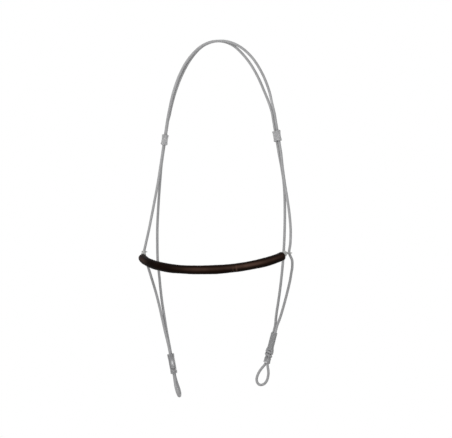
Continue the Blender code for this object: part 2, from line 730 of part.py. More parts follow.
def lower_ends():
    """The strands below the pivots, their fittings and their loops."""
    strand("left_front_leg_cord", LEFT_FRONT_LEG_ROUTE, round_start=True)
    strand("left_rear_leg_cord", LEFT_REAR_LEG_ROUTE, round_start=True)
    strand("right_front_leg_cord", RIGHT_FRONT_LEG_ROUTE, round_start=True)
    strand("right_rear_leg_cord", RIGHT_REAR_LEG_ROUTE, round_start=True)
    left_fittings()
    right_fittings()
    loop("left_tie_down_loop", LEFT_LOOP_ROUTE)
    loop("right_tie_down_loop", RIGHT_LOOP_ROUTE)


clear_scene()
part = bpy.data.collections.new("tie_down_noseband")
bpy.context.scene.collection.children.link(part)
headstall()
noseband()
lower_ends()
bpy.context.view_layer.update()
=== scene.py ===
"""Dresses the tie-down noseband in braided cord, leather, twine and sleeves, with camera and light."""

import math

import bpy
import numpy as np
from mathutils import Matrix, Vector


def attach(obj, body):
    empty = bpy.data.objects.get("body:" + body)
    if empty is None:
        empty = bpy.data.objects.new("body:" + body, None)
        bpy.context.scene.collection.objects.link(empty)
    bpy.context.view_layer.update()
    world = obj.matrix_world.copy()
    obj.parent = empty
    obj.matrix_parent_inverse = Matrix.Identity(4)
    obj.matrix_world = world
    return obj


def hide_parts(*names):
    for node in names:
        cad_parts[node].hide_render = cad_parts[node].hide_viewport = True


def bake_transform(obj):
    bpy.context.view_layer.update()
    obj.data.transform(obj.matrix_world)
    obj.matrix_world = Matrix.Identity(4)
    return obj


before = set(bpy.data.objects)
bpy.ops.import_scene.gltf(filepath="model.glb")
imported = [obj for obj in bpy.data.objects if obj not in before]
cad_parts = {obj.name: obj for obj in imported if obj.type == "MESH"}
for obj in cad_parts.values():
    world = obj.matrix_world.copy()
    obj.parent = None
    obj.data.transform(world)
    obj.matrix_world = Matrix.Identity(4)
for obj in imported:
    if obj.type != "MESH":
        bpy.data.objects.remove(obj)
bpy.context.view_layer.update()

# The photograph's frame, and its scale at the object
PHOTO_WIDTH = 452
PHOTO_HEIGHT = 438
METRES_PER_PIXEL = 0.0016
CROWN_PIXEL = (221.4, 41.0)
CAMERA_AZIMUTH = math.radians(16)
CAMERA_DISTANCE = 8.0
SENSOR_WIDTH = 36  # in millimetres, as the camera takes it

# Braided cord
CORD_DIAMETER = 0.0044
CORD_RADIUS = CORD_DIAMETER / 2
BRAID_LOW_RADIUS = 0.00193
BRAID_RELIEF = 0.00030
BRAID_PAIRS = 6  # carriers that run each way round
BRAID_PICK = 0.0031  # along the cord
BRAID_SIDES = 24
BRAID_CROWN_POWER = 0.75  # rounds a carrier across its width
BRAID_DIVE_POWER = 0.4  # rounds it where it dives under another
BRAID_NUDGE = 1e-6  # keeps the points off the carriers' borders
TONE_STEP = 12.9898  # with the next value, scatters the carriers' numbers into tones
TONE_STRETCH = 43758.5453
TONE_SHIFT = 31  # from the carriers that run one way round to those that run the other
STEPS_PER_PICK = 6
ROUTE_SAMPLES = 24
EDGE_ANGLE = math.radians(62)  # sharper edges than this are shaded as edges

# Stretches of the cord that are paler or darker than the rest: their middle, reach and amount. The two paler
# ones high on the cord are painted light, where the light from above falls; the darker ones lower down are
# simply darker.
LIGHTER_AND_DARKER_PLACES = (
    ((-0.074, 0, -0.068), 0.025, 0.13),
    ((0.082, 0, -0.096), 0.012, 0.12),
    ((-0.1093, -0.016, -0.388), 0.014, -0.2),
    ((0.1, -0.006, -0.405), 0.035, -0.07),
    ((0.066, 0, -0.542), 0.03, -0.1),
)

# The points where the noseband's eyes hold the front strands
LEFT_EYE = (-0.1207, -0.027, -0.337)
RIGHT_EYE = (0.1198, -0.027, -0.3385)

# The places where the strands of each lower end bend below the noseband
LEFT_FRONT_PIVOT = (-0.1178, -0.0262, -0.352)
LEFT_REAR_PIVOT = (-0.1065, 0.0005, -0.352)
RIGHT_FRONT_PIVOT = (0.1244, -0.0266, -0.35)
RIGHT_REAR_PIVOT = (0.1022, 0.0005, -0.35)
BEND_REACH = 0.0085  # above and below a pivot

# The whole doubled cord as one closed line: over the crown, down to a loop and back, on each side in turn
OUTER_ROUTE = [
    LEFT_EYE,
    (-0.1191, -0.0259, -0.327),
    (-0.1146, -0.0217, -0.302),
    (-0.1111, -0.0167, -0.278),
    (-0.1077, -0.0107, -0.252),
    (-0.1044, -0.005, -0.226),
    (-0.10037, -0.00237, -0.196),
    (-0.099285, -0.00237, -0.189),
    (-0.09169, -0.00237, -0.14),
    (-0.09076, -0.00237, -0.134),
    (-0.08983, -0.00237, -0.128),
    (-0.088, -0.0024, -0.118),
    (-0.0855, -0.0023, -0.106),
    (-0.08, -0.0022, -0.083),
    (-0.0701, -0.0022, -0.056),
    (-0.0558, -0.0022, -0.0305),
    (-0.0356, -0.0024, -0.01),
    (-0.0185, -0.0024, -0.0018),
    (-0.0033, -0.0024, 0.0),
    (0.012, -0.0024, -0.0013),
    (0.0319, -0.0022, -0.0096),
    (0.0525, -0.0018, -0.028),
    (0.069, -0.0015, -0.054),
    (0.0795, -0.0012, -0.08),
    (0.0848, -0.0011, -0.102),
    (0.088282, -0.00105, -0.116),
    (0.089318, -0.00105, -0.122),
    (0.092428, -0.00105, -0.14),
    (0.098127, -0.00105, -0.173),
    (0.099163, -0.00105, -0.179),
    (0.1023, -0.0036, -0.201),
    (0.1077, -0.0088, -0.229),
    (0.1138, -0.0145, -0.256),
    (0.1184, -0.0192, -0.28),
    (0.1213, -0.0236, -0.304),
    (0.1213, -0.0263, -0.325),
    RIGHT_EYE,
]
INNER_ROUTE = [
    LEFT_REAR_PIVOT,
    (-0.1073, 0.0008, -0.3248),
    (-0.1074, 0.0012, -0.2992),
    (-0.1064, 0.0017, -0.2736),
    (-0.1048, 0.0022, -0.246),
    (-0.1028, 0.0024, -0.22),
    (-0.10067, 0.00237, -0.196),
    (-0.099585, 0.00237, -0.189),
    (-0.09199, 0.00237, -0.14),
    (-0.09106, 0.00237, -0.134),
    (-0.09013, 0.00237, -0.128),
    (-0.0873, 0.0024, -0.118),
    (-0.0846, 0.0023, -0.106),
    (-0.0781, 0.0023, -0.083),
    (-0.0675, 0.0022, -0.056),
    (-0.0532, 0.0022, -0.0305),
    (-0.035, 0.0024, -0.0102),
    (-0.019, 0.0024, -0.002),
    (-0.0047, 0.0024, 0.0),
    (0.0095, 0.0024, -0.0028),
    (0.023, 0.0022, -0.0102),
    (0.0425, 0.0018, -0.03),
    (0.0585, 0.0015, -0.0545),
    (0.0709, 0.0012, -0.081),
    (0.0792, 0.0011, -0.101),
    (0.083982, 0.00105, -0.116),
    (0.085018, 0.00105, -0.122),
    (0.088128, 0.00105, -0.14),
    (0.093827, 0.00105, -0.173),
    (0.094863, 0.00105, -0.179),
    (0.099, 0.0011, -0.2),
    (0.1028, 0.001, -0.224),
    (0.1046, 0.001, -0.248),
    (0.105, 0.0009, -0.274),
    (0.1047, 0.0008, -0.3),
    (0.1038, 0.0006, -0.325),
    RIGHT_REAR_PIVOT,
]
LEFT_LEG_ROUTE = [
    LEFT_FRONT_PIVOT,
    (-0.1146, -0.0236, -0.364),
    (-0.1104, -0.0176, -0.3825),
    (-0.1063, -0.0115, -0.4016),
    (-0.1024, -0.0062, -0.422),
    (-0.0981, -0.0031, -0.444),
    (-0.0936, -0.0024, -0.464),
    (-0.0869, -0.00238, -0.491),
    (-0.084, -0.00238, -0.5065),
    (-0.0814, -0.00238, -0.52),
    (-0.08015, -0.00238, -0.5265),
    (-0.0787, -0.0024, -0.534),
    (-0.077, -0.0038, -0.5425),
    (-0.0752, -0.0058, -0.5505),
    (-0.0732, -0.007, -0.558),
    (-0.0713, -0.0058, -0.5645),
    (-0.0702, -0.0026, -0.5683),
    (-0.07, 0.0026, -0.5683),
    (-0.0708, 0.0058, -0.5645),
    (-0.0726, 0.007, -0.558),
    (-0.075, 0.0058, -0.5505),
    (-0.077, 0.0038, -0.5425),
    (-0.0787, 0.0024, -0.534),
    (-0.08015, 0.00238, -0.5265),
    (-0.0814, 0.00238, -0.52),
    (-0.084, 0.00238, -0.5065),
    (-0.0869, 0.00238, -0.491),
    (-0.0922, 0.0023, -0.464),
    (-0.0957, 0.0018, -0.442),
    (-0.0994, 0.001, -0.418),
    (-0.102, 0.0006, -0.396),
    (-0.1042, 0.0005, -0.374),
]
RIGHT_LEG_ROUTE = [
    (0.0999, 0.0005, -0.374),
    (0.0973, 0.0005, -0.396),
    (0.0941, 0.0006, -0.418),
    (0.0907, 0.001, -0.4385),
    (0.08886, 0.0014, -0.455),
    (0.08705, 0.00146, -0.462),
    (0.07965, 0.00146, -0.49),
    (0.07435, 0.00146, -0.51),
    (0.07295, 0.00146, -0.5154),
    (0.0669, 0.00146, -0.5228),
    (0.0624, 0.0014, -0.529),
    (0.0592, 0.0013, -0.5358),
    (0.0583, 0.0011, -0.542),
    (0.06, 0.0008, -0.5468),
    (0.0635, 0.0005, -0.5494),
    (0.068, 0.0002, -0.5493),
    (0.0725, -0.0002, -0.5468),
    (0.0761, -0.0006, -0.5415),
    (0.0779, -0.001, -0.535),
    (0.0784, -0.0014, -0.528),
    (0.0773, -0.0015, -0.52),
    (0.07695, -0.00146, -0.5147),
    (0.07817, -0.00146, -0.51),
    (0.08347, -0.00146, -0.49),
    (0.09087, -0.00146, -0.462),
    (0.09282, -0.0015, -0.455),
    (0.0981, -0.0028, -0.4425),
    (0.1054, -0.0064, -0.422),
    (0.1125, -0.012, -0.4016),
    (0.1188, -0.0182, -0.3825),
    (0.1223, -0.0228, -0.3696),
    (0.124, -0.0246, -0.3632),
    (0.1246, -0.0258, -0.357),
    RIGHT_FRONT_PIVOT,
]

# Straight stretches of the two strands together: a high point and a low point midway between them, and the
# direction from the rear strand to the front one
LEFT_CHEEK_PAIR = ((-0.08998, 0, -0.128), (-0.10052, 0, -0.196), (0.0003, -0.00474, 0))
RIGHT_CHEEK_PAIR = ((0.086132, 0, -0.116), (0.097013, 0, -0.179), (0.0043, -0.0021, 0))
LEFT_END_PAIR = ((-0.084, 0, -0.5065), (-0.0814, 0, -0.52), (0, -0.00476, 0))
RIGHT_END_PAIR = ((0.08156, 0, -0.49), (0.07626, 0, -0.51), (0.00382, -0.00292, 0))
PAIR_HALF_APART = 0.0024
LEFT_KEEPER_DROP = 0.0296
RIGHT_KEEPER_DROP = 0.0363
LEFT_SLEEVE_ABOVE_END = 0.0066

# Noseband tube
NOSE_BOW = 0.056
NOSE_DROP = 0.0205
NOSE_END_ANGLE = math.radians(72.8)
NOSE_RADIUS = 0.00705
BORE_RADIUS = 0.00505
WALL_MIDDLE_RADIUS = (NOSE_RADIUS + BORE_RADIUS) / 2
HALF_WALL = (NOSE_RADIUS - BORE_RADIUS) / 2
SEAM_GAP = 0.0007
SEAM_ANGLE = math.radians(-50)  # from the side that faces the horse, downwards
BOW_SAMPLES = 1600
COVER_STATIONS = 300
COVER_ARC_POINTS = 64
LIP_POINTS = 7
RIM_SHARES = (0, 0.13, 0.5, 1)
LEATHER_ROUNDING = 0.0009

# Uneven leather: numbers of waves along the tube with their heights, wrinkles towards the horse, and puckers
RELIEF_SEED = 11
LEATHER_WAVES = ((3, 0.0001), (7, 0.00006), (15, 0.00004), (31, 0.00002))
WAVE_TURNS = (0, 1, 2)
WRINKLE_SPACING = 0.0052
WRINKLE_FROM_END = 0.012
WRINKLE_STRAY = 0.0018
WRINKLE_ASIDE = 0.5  # radians either way
WRINKLE_SLANT = 0.0008
WRINKLE_DEPTHS = (0.0001, 0.00028)
WRINKLE_REACHES = (0.5, 0.9)
WRINKLE_WIDTH = 0.0006
PUCKER_DEPTH = 0.00038
PUCKER_REACH = 0.001

# At the left end the tube is pressed flat above
END_DENT_DEPTH = 0.0015
END_DENT_LENGTH = 0.006
END_DENT_ANGLE = math.radians(55)
END_DENT_REACH = math.radians(50)

# Painted highlights on the leather, in stretches along the tube's upper front where the light falls and in
# light lines at two creases: their middle as a share of the tube's length, their reach and their amount
HIGHLIGHT_ANGLE = math.radians(152)
HIGHLIGHT_REACH = math.radians(23)
HIGHLIGHT_STRETCHES = ((0.07, 0.04, 0.5), (0.48, 0.12, 0.55), (0.77, 0.12, 1.0), (0.95, 0.05, 0.3))
CREASE_HIGHLIGHT_ANGLE = math.radians(185)
CREASE_HIGHLIGHT_REACH = math.radians(50)
CREASE_HIGHLIGHT_WIDTH_SHARE = 0.0034
CREASE_HIGHLIGHTS = ((0.678, 0.35), (0.6974, 0.75))

# Rope core
CORE_RADIUS = 0.0047
CORE_SETBACK = 0.0125
CORE_STEP = 0.0012
CORE_PLIES = 3
CORE_LAY = 0.026
CORE_SIDES = 36
PLY_GROOVE_SHARE = 0.2

# Seam stitching
THREAD_RADIUS = 0.00045
THREAD_STEP = 0.00032
THREAD_PLIES = 2
THREAD_LAY = 0.0026
THREAD_SIDES = 10
STITCH_LENGTH = 0.0058
STITCH_REACH = 0.0021
STITCH_BEND = 0.0007  # along the seam, from a hole to where the thread lies on the leather
STITCH_LEAN = 0.0009  # across the seam, over the same stretch
STITCH_SINK = 0.0007
STITCH_CREST = 0.00015

# Noseband eyes
EYE_DISTANCE = 0.016
EYE_INSET = 0.0047
EYE_RISE = 0.0071
NOSE_SHIFT = 0.0023  # from midway between the eyes to the tube's middle, towards the left eye
NOSE_SLOPE = 0.0195  # rise of the tube towards the right eye, against the line through the eyes
EYE_CORD_DIAMETER = 0.0017
EYE_INNER_RADIUS = 0.003
EYE_BEARING = 0.0002  # from the strand to the ring's centre, towards the middle of the noseband
EYE_SWING_ROOM = 0.0009
EYE_LEAN = 0.0005
EYE_ROOT = 0.0119
EYE_LIFT = 0.0022
EYE_PAIRS = 4
EYE_SIDES = 16
NECK_SPREAD = 0.0034
NECK_CREST = 0.0004
NECK_LENGTH_SHARE = 0.62
EYE_ROOT_SHARES = (1, 0.5)
EYE_NECK_SHARES = (0, 0.25, 0.5, 0.75, 1)
EYE_RING_ANGLES = (48, 80, 112, 146, 180, 214, 248, 280, 312)  # in degrees, from the neck round to it again
NOSE_HALF_SPAN = math.dist(LEFT_EYE, RIGHT_EYE) / 2 - EYE_INSET

# Lashings
TWINE_SIDES = 16
TWINE_PLIES = 3
TWINE_GROOVE_SHARE = 0.14
STEPS_PER_TURN = 72
CORNER_SHARE = 0.2
TUCK_ANGLE = math.radians(24)
TUCK_SHARE = 1.9
TUCKED_SIZE_SHARE = 0.6
SPREAD_REACH = math.radians(75)
SEIZING_START = 0.0022
WINDING_TWINE = 0.0026
WHIPPING_TWINE = 0.0014
WHIPPING_SWELL = 0.0011
WHIPPING_SWELL_REACH = 0.006
KNOT_CORD = 0.0027
KNOT_SWELL = 0.0006
KNOT_SWELL_HEIGHTS = (-0.006, 0.001)
KNOT_SHRINK = 0.0003

# What lashing() takes for each of them
SEIZING = {
    "reach": EYE_CORD_DIAMETER / 2 + 0.0011,
    "pitch": 0.00195,
    "turns": 3,
    "half_width": 0.00108,
    "half_depth": 0.0011,
    "lay": 0.0035,
    "level": (0, 0.5),
}
WINDING = {
    "reach": CORD_RADIUS + 0.0015,
    "pitch": 0.0031,
    "turns": 1.5,
    "half_width": 0.00165,
    "half_depth": 0.00135,
    "lay": 0.012,
    "start": math.pi,
    "spread": 1.05,
}
WHIPPING = {
    "reach": CORD_RADIUS + 0.0009,
    "pitch": 0.00187,
    "turns": 15,
    "half_width": 0.00104,
    "half_depth": 0.0007,
    "lay": 0.0045,
    "level": (0, 1),
}
KNOT = {
    "reach": CORD_RADIUS + 0.0014,
    "pitch": 0.0033,
    "turns": 2.5,
    "half_width": 0.0021,
    "half_depth": 0.0014,
    "lay": 0.011,
    "level": (0.6, 0.2),
}

# Sleeves
SLEEVE_SIDES = 72
SLEEVE_STATIONS = 24
OVAL_CORNER_SHARE = 0.12
FLARE_FROM_SHARE = 0.35
WAIST_REACH_SHARE = 0.45
EAR_POWER = 4
# The painted highlight on a sleeve: how far it reaches round it and along it
PAINTED_GLINT_TURN = 0.36
PAINTED_GLINT_LENGTH_SHARE = 0.3
BUTT_GAP = 0.0003

# What sleeve() takes for each of them
KEEPER = {
    "length": 0.0165,
    "play": 0.0006,
    "bore_radius": 0.0033,
    "wall": 0.0015,
    "waist": 0.0002,
    "flare_top": 0.0006,
    "flare_foot": 0.0006,
    "ear": 0.0012,
}
LEFT_SLEEVE = {
    "length": 0.024,
    "play": 0.00035,
    "bore_radius": 0.0039,
    "wall": 0.0012,
    "waist": 0.0003,
    "flare_top": 0.0005,
    "ear": -0.0016,
    # A painted highlight: its angle round the sleeve and its share along it
    "painted_glint": (0.45, -0.2),
}
COLLAR = {
    "length": 0.0088,
    "play": 0.00035,
    "bore_radius": 0.0031,
    "wall": 0.0012,
    "waist": 0.0002,
    "flare_foot": 0.0004,
    "ear": 0.0008,
    # A painted highlight: its angle round the sleeve and its share along it
    "painted_glint": (-1.3, -0.8),
}

# Cord and twine: the colour painted as shade in the grooves, the colour of the crests, roughness, sheen, and
# whether it is a braid
FIBRE_LOOKS = {
    "cord": ((0.16, 0.16, 0.163), (0.385, 0.385, 0.39), 0.6, 0.1, True),
    "pale_cord": ((0.19, 0.19, 0.18), (0.44, 0.44, 0.42), 0.6, 0.2, True),
    "twine": ((0.22, 0.22, 0.21), (0.5, 0.5, 0.48), 0.55, 0.15, False),
    "lashing": ((0.1, 0.1, 0.102), (0.3, 0.3, 0.305), 0.5, 0.1, False),
    "rope": ((0.1, 0.07, 0.04), (0.36, 0.28, 0.18), 0.8, 0.1, False),
    "thread": ((0.02, 0.012, 0.008), (0.075, 0.05, 0.035), 0.6, 0.05, False),
}
FIBRE_CREST_POWER = 0.7
FIBRE_TONES = (0.95, 1.05)
FIBRE_ROUGHNESS_SPREAD = 0.08
FIBRE_SHEEN_ROUGHNESS = 0.5

# Leather
LEATHER_DARK = (0.0013, 0.0005, 0.0004)
LEATHER_LIGHT = (0.006, 0.0023, 0.0014)
# The colour of the painted highlight on the leather
LEATHER_PAINTED_HIGHLIGHT = (0.076, 0.043, 0.032)
LEATHER_EDGE = (0.012, 0.006, 0.004)
LEATHER_SPECULAR = 0.03
LEATHER_SPECULAR_TINT = (1.0, 0.66, 0.5, 1)
GRAIN_SCALE = 1500
GRAIN_SMOOTHNESS = 0.6
GRAIN_BUMP = (0.35, 0.0001)  # strength and height

# Plastic sleeves: their darker and lighter colours
SLEEVE_LOOKS = {
    "keeper": ((0.41, 0.41, 0.415), (0.55, 0.55, 0.555)),
    "sleeve": ((0.26, 0.26, 0.265), (0.4, 0.4, 0.405)),
}
# The colour of the painted highlight on a sleeve
PAINTED_GLINT_COLOUR = (0.85, 0.85, 0.86)
PLASTIC_TRANSMISSION = 0.35
PLASTIC_IOR = 1.45

# Patches of noise: scale, detail, and the two levels between which they move a value
FIBRE_SPECKS = (420, 4, 0.88, 1.1)
FIBRE_BLOTCHES = (18, 2, 0.94, 1.05)
LEATHER_BLOTCHES = (34, 5, 0, 1)
# These patches break up the painted highlight on the leather
HIGHLIGHT_BLOTCHES = (70, 4, 0.7, 1.1)
LEATHER_ROUGHNESS = (60, 4, 0.42, 0.6)
PLASTIC_BLOTCHES = (150, 4, 0, 1)
PLASTIC_ROUGHNESS = (420, 4, 0.2, 0.36)
NOISE_LOW = 0.3
NOISE_HIGH = 0.7
PLASTIC_NOISE_LOW = 0.35
FIBRE_ROUGHNESS_NOISE = (900, 2)  # scale and detail

# Bumps of noise: scale, detail, strength and height
FIBRE_BUMP = (2600, 3, 0.35, 0.00012)
LEATHER_BUMP = (260, 5, 0.3, 0.00022)
PLASTIC_BUMP = (500, 4, 0.12, 0.00015)

# Light: strengths of 1 are white. Each lamp has its place, its size and its power
WORLD_LIGHT = 0.62
LAMPS = (
    ("key", (-0.9, -1.9, 0.9), 1.1, 24),
    ("fill", (1.6, -1.6, 0.1), 1.4, 9),
    ("back", (0.2, 1.6, 0.9), 1.2, 12),
)
LAMP_AIM = (0, 0, -0.28)
FLOOR_GLOW = 0.94
FLOOR_REACH = 4.5
FLOOR_HEIGHT = -1.0
FLOOR_CORNERS = ((-1, -1), (1, -1), (1, 1), (-1, 1))
FLOOR_COLOUR = (0.8, 0.8, 0.8, 1)
FLOOR_ROUGHNESS = 0.8
WHITE = (1, 1, 1, 1)


def make_camera():
    """A long lens at the photograph's angle, aimed so that the crown falls on its pixel."""
    data = bpy.data.cameras.new("camera")
    data.sensor_width = SENSOR_WIDTH
    data.lens = SENSOR_WIDTH * CAMERA_DISTANCE / (PHOTO_WIDTH * METRES_PER_PIXEL)
    camera = bpy.data.objects.new("camera", data)
    bpy.context.scene.collection.objects.link(camera)
    back = Vector((math.sin(CAMERA_AZIMUTH), -math.cos(CAMERA_AZIMUTH), 0))
    right = Vector((math.cos(CAMERA_AZIMUTH), math.sin(CAMERA_AZIMUTH), 0))
    aside = (PHOTO_WIDTH / 2 - CROWN_PIXEL[0]) * METRES_PER_PIXEL
    down = (PHOTO_HEIGHT / 2 - CROWN_PIXEL[1]) * METRES_PER_PIXEL
    target = right * aside - Vector((0, 0, down))
    camera.location = target + back * CAMERA_DISTANCE
    camera.rotation_euler = (math.pi / 2, 0, CAMERA_AZIMUTH)
    bpy.context.scene.camera = camera


# Geometry shared by the pieces


def unit(v):
    return np.asarray(v, float) / np.linalg.norm(v)


def unit_rows(rows):
    return rows / np.linalg.norm(rows, axis=1)[:, None]


def smoothstep(low, high, value):
    t = np.clip((value - low) / (high - low), 0, 1)
    return t * t * (3 - 2 * t)


def bell(away, reach):
    """1 at the middle of a place, falling off smoothly over its reach."""
    return np.exp(-((away / reach) ** 2))


def round_angles(count):
    """Angles spaced evenly round a full turn."""
    return np.linspace(0, 2 * math.pi, count, endpoint=False)


def turned_apart(a, b):
    """How far two angles differ, the short way round."""
    return (a - b + math.pi) % (2 * math.pi) - math.pi


def catmull_rom(points, closed=False):
    """A centripetal Catmull-Rom curve through the points, finely sampled."""
    p = [np.array(q, float) for q in points]
    if closed:
        p = [p[-1]] + p + [p[0], p[1]]
    else:
        p = [2 * p[0] - p[1]] + p + [2 * p[-1] - p[-2]]
    dense = []
    for a, b, c, d in zip(p, p[1:], p[2:], p[3:]):
        ta = 0.0
        tb = ta + math.sqrt(np.linalg.norm(b - a))
        tc = tb + math.sqrt(np.linalg.norm(c - b))
        td = tc + math.sqrt(np.linalg.norm(d - c))
        for t in np.linspace(tb, tc, ROUTE_SAMPLES, endpoint=False):
            ab = a + (b - a) * (t - ta) / (tb - ta)
            bc = b + (c - b) * (t - tb) / (tc - tb)
            cd = c + (d - c) * (t - tc) / (td - tc)
            abc = ab + (bc - ab) * (t - ta) / (tc - ta)
            bcd = bc + (cd - bc) * (t - tb) / (td - tb)
            dense.append(abc + (bcd - abc) * (t - tb) / (tc - tb))
    dense.append(p[-2])
    return np.array(dense)


def distances(points):
    return np.concatenate([[0.0], np.cumsum(np.linalg.norm(np.diff(points, axis=0), axis=1))])


def read_off(line, values, wanted):
    """What is given for each point of a line, read off at the wanted distances along it."""
    along = distances(line)
    return np.stack([np.interp(wanted, along, values[:, k]) for k in range(3)], axis=1)


def at_distances(line, wanted):
    """Points on the line at the wanted distances along it."""
    return read_off(line, line, wanted)


def carried_frames(points, first_side=(0, 1, 0)):
    """Two directions across the line at each of its points, carried along it without twist."""
    tangents = unit_rows(np.gradient(points, axis=0))
    side = unit(np.cross(tangents[0], first_side))
    sides = []
    for t in tangents:
        side = unit(side - t * side.dot(t))
        sides.append(side)
    sides = np.array(sides)
    return sides, np.cross(tangents, sides)


def round_rings(points, frames, radii):
    """Rings of points round the line. radii has a row for each point of the line."""
    sides, ups = frames
    angle = round_angles(radii.shape[1])[:, None]
    across = np.cos(angle) * sides[:, None, :] + np.sin(angle) * ups[:, None, :]
    return points[:, None, :] + radii[:, :, None] * across


def ring_mesh(name, rings, values=None, wrap=False, cap=None):
    """A closed mesh from rings of points: capped at both ends, or joined end to end if wrap is set."""
    count, sides = rings.shape[:2]
    index = np.arange(count * sides).reshape(count, sides)
    around = np.roll(index, -1, axis=1)
    if wrap:
        low, high = index, np.roll(index, -1, axis=0)
        low_next, high_next = around, np.roll(around, -1, axis=0)
    else:
        low, high = index[:-1], index[1:]
        low_next, high_next = around[:-1], around[1:]
    faces = np.stack([low, low_next, high_next, high], axis=-1).reshape(-1, 4).tolist()
    if not wrap:
        for face in cap or [list(range(sides))]:
            faces.append(index[0, face[::-1]].tolist())
            faces.append(index[-1, face].tolist())
    mesh = bpy.data.meshes.new(name)
    mesh.from_pydata(rings.reshape(-1, 3).tolist(), [], faces)
    for key, value in (values or {}).items():
        attribute = mesh.attributes.new(key, "FLOAT", "POINT")
        attribute.data.foreach_set("value", np.ascontiguousarray(value, np.float32).reshape(-1))
    mesh.shade_smooth()
    mesh.set_sharp_from_angle(angle=EDGE_ANGLE)
    piece = bpy.data.objects.new(name, mesh)
    bpy.context.scene.collection.objects.link(piece)
    return piece


def placement(origin, axis, across):
    """An origin and the three directions of a local frame: Z is the axis, X is nearest to across."""
    z = unit(axis)
    x = unit(np.asarray(across, float) - z * z.dot(across))
    return np.asarray(origin, float), np.stack([x, np.cross(z, x), z], axis=1)


def placed(local, place):
    origin, turn = place
    return origin + local @ turn.T


def on_pair(pair, distance):
    """The placement at a distance below a pair's high point: Z up the strands, X from rear to front."""
    high, low, across = (np.array(p, float) for p in pair)
    down = unit(low - high)
    return placement(high + down * distance, -down, across)


def below(place, distance):
    origin, turn = place
    return origin - turn[:, 2] * distance, turn


# Cords


def braid_relief(along, pairs, pick, sides):
    """How high a braid's surface stands, from 0 to 1, and a tone for each of its carriers."""
    turn = np.arange(sides) / sides * pairs
    u = turn[None, :] + along[:, None] / pick + BRAID_NUDGE
    v = turn[None, :] - along[:, None] / pick + BRAID_NUDGE
    cell_u = np.floor(u)
    cell_v = np.floor(v)
    across_u = np.sin(math.pi * (u - cell_u))
    across_v = np.sin(math.pi * (v - cell_v))
    u_is_over = (cell_u + cell_v) % 2 == 0
    u_height = across_u**BRAID_CROWN_POWER * across_v**BRAID_DIVE_POWER
    v_height = across_v**BRAID_CROWN_POWER * across_u**BRAID_DIVE_POWER
    carrier = np.where(u_is_over, cell_u % (2 * pairs), cell_v % (2 * pairs) + TONE_SHIFT)
    tone = (np.sin(carrier * TONE_STEP) * TONE_STRETCH) % 1.0
    return np.where(u_is_over, u_height, v_height), tone


def braided(name, points, along, frames, scale=1.0, pairs=BRAID_PAIRS, sides=BRAID_SIDES):
    """A braided cord along the points."""
    height, tone = braid_relief(along, pairs, BRAID_PICK * scale, sides)
    radii = scale * (BRAID_LOW_RADIUS + BRAID_RELIEF * height)
    # Painted light on the two high places, and darker stretches lower down
    lighter_or_darker = np.zeros(len(points))
    for place, reach, amount in LIGHTER_AND_DARKER_PLACES:
        lighter_or_darker += amount * bell(np.linalg.norm(points - np.array(place), axis=1), reach)
    values = {"crest": height, "tone": tone, "lighter_or_darker": np.repeat(lighter_or_darker, sides)}
    return ring_mesh(name, round_rings(points, frames, radii), values)


def whole_cord():
    """The closed cord as fine points, with their distances along it and two directions across it."""
    route = OUTER_ROUTE[::-1] + LEFT_LEG_ROUTE + INNER_ROUTE + RIGHT_LEG_ROUTE
    dense = catmull_rom(route, closed=True)
    length = distances(dense)[-1]
    picks = round(length / BRAID_PICK)
    count = picks * STEPS_PER_PICK + 1
    points = at_distances(dense, np.linspace(0, length, count))
    sides, ups = carried_frames(points)
    turned = math.atan2(sides[-1].dot(ups[0]), sides[-1].dot(sides[0]))
    twist = np.linspace(0, -turned, count)[:, None]
    closed_sides = sides * np.cos(twist) + ups * np.sin(twist)
    closed_ups = ups * np.cos(twist) - sides * np.sin(twist)
    return points, np.linspace(0, picks * BRAID_PICK, count), closed_sides, closed_ups


def nearest(points, place):
    return int(np.argmin(np.linalg.norm(points - np.array(place), axis=1)))


def cut_cords():
    """The cord in four stretches, each its own piece, cut at the height of the noseband's eyes."""
    points, along, sides, ups = whole_cord()
    rise = np.array([0, 0, BEND_REACH])
    marks = [0, nearest(points, LEFT_EYE)]
    for pivot in (LEFT_REAR_PIVOT, RIGHT_REAR_PIVOT):
        marks.append(nearest(points, pivot + rise))
    marks.append(len(points) - 1)
    names = ("crown_outer", "left_leg_cord", "crown_inner", "right_leg_cord")
    stretches = {}
    for name, first, last in zip(names, marks, marks[1:]):
        part = slice(first, last + 1)
        piece = braided(name, points[part], along[part], (sides[part], ups[part]))
        stretches[name] = (piece, points[part])
    return stretches


# Noseband


def nose_world(local):
    """From the noseband's own frame, whose origin is midway between the eyes, to the row's frame."""
    left = np.array(LEFT_EYE)
    right = np.array(RIGHT_EYE)
    tilt = math.atan2(right[2] - left[2], right[0] - left[0])
    c = math.cos(tilt)
    s = math.sin(tilt)
    turn = np.array([[c, 0, -s], [0, 1, 0], [s, 0, c]])
    return (left + right) / 2 + np.asarray(local, float) @ turn.T


def bow_line():
    """The middle line of the noseband's tube, from the left end to the right end."""
    half_length = NOSE_HALF_SPAN / math.sin(NOSE_END_ANGLE)
    half_bow = NOSE_BOW / (1 - math.cos(NOSE_END_ANGLE))
    t = np.linspace(-NOSE_END_ANGLE, NOSE_END_ANGLE, BOW_SAMPLES)
    forward = NOSE_BOW - half_bow * (1 - np.cos(t))
    across = half_length * np.sin(t)
    height = NOSE_SLOPE * across - EYE_RISE - NOSE_DROP * forward / NOSE_BOW
    return nose_world(np.stack([across - NOSE_SHIFT, -EYE_DISTANCE - forward, height], axis=1))


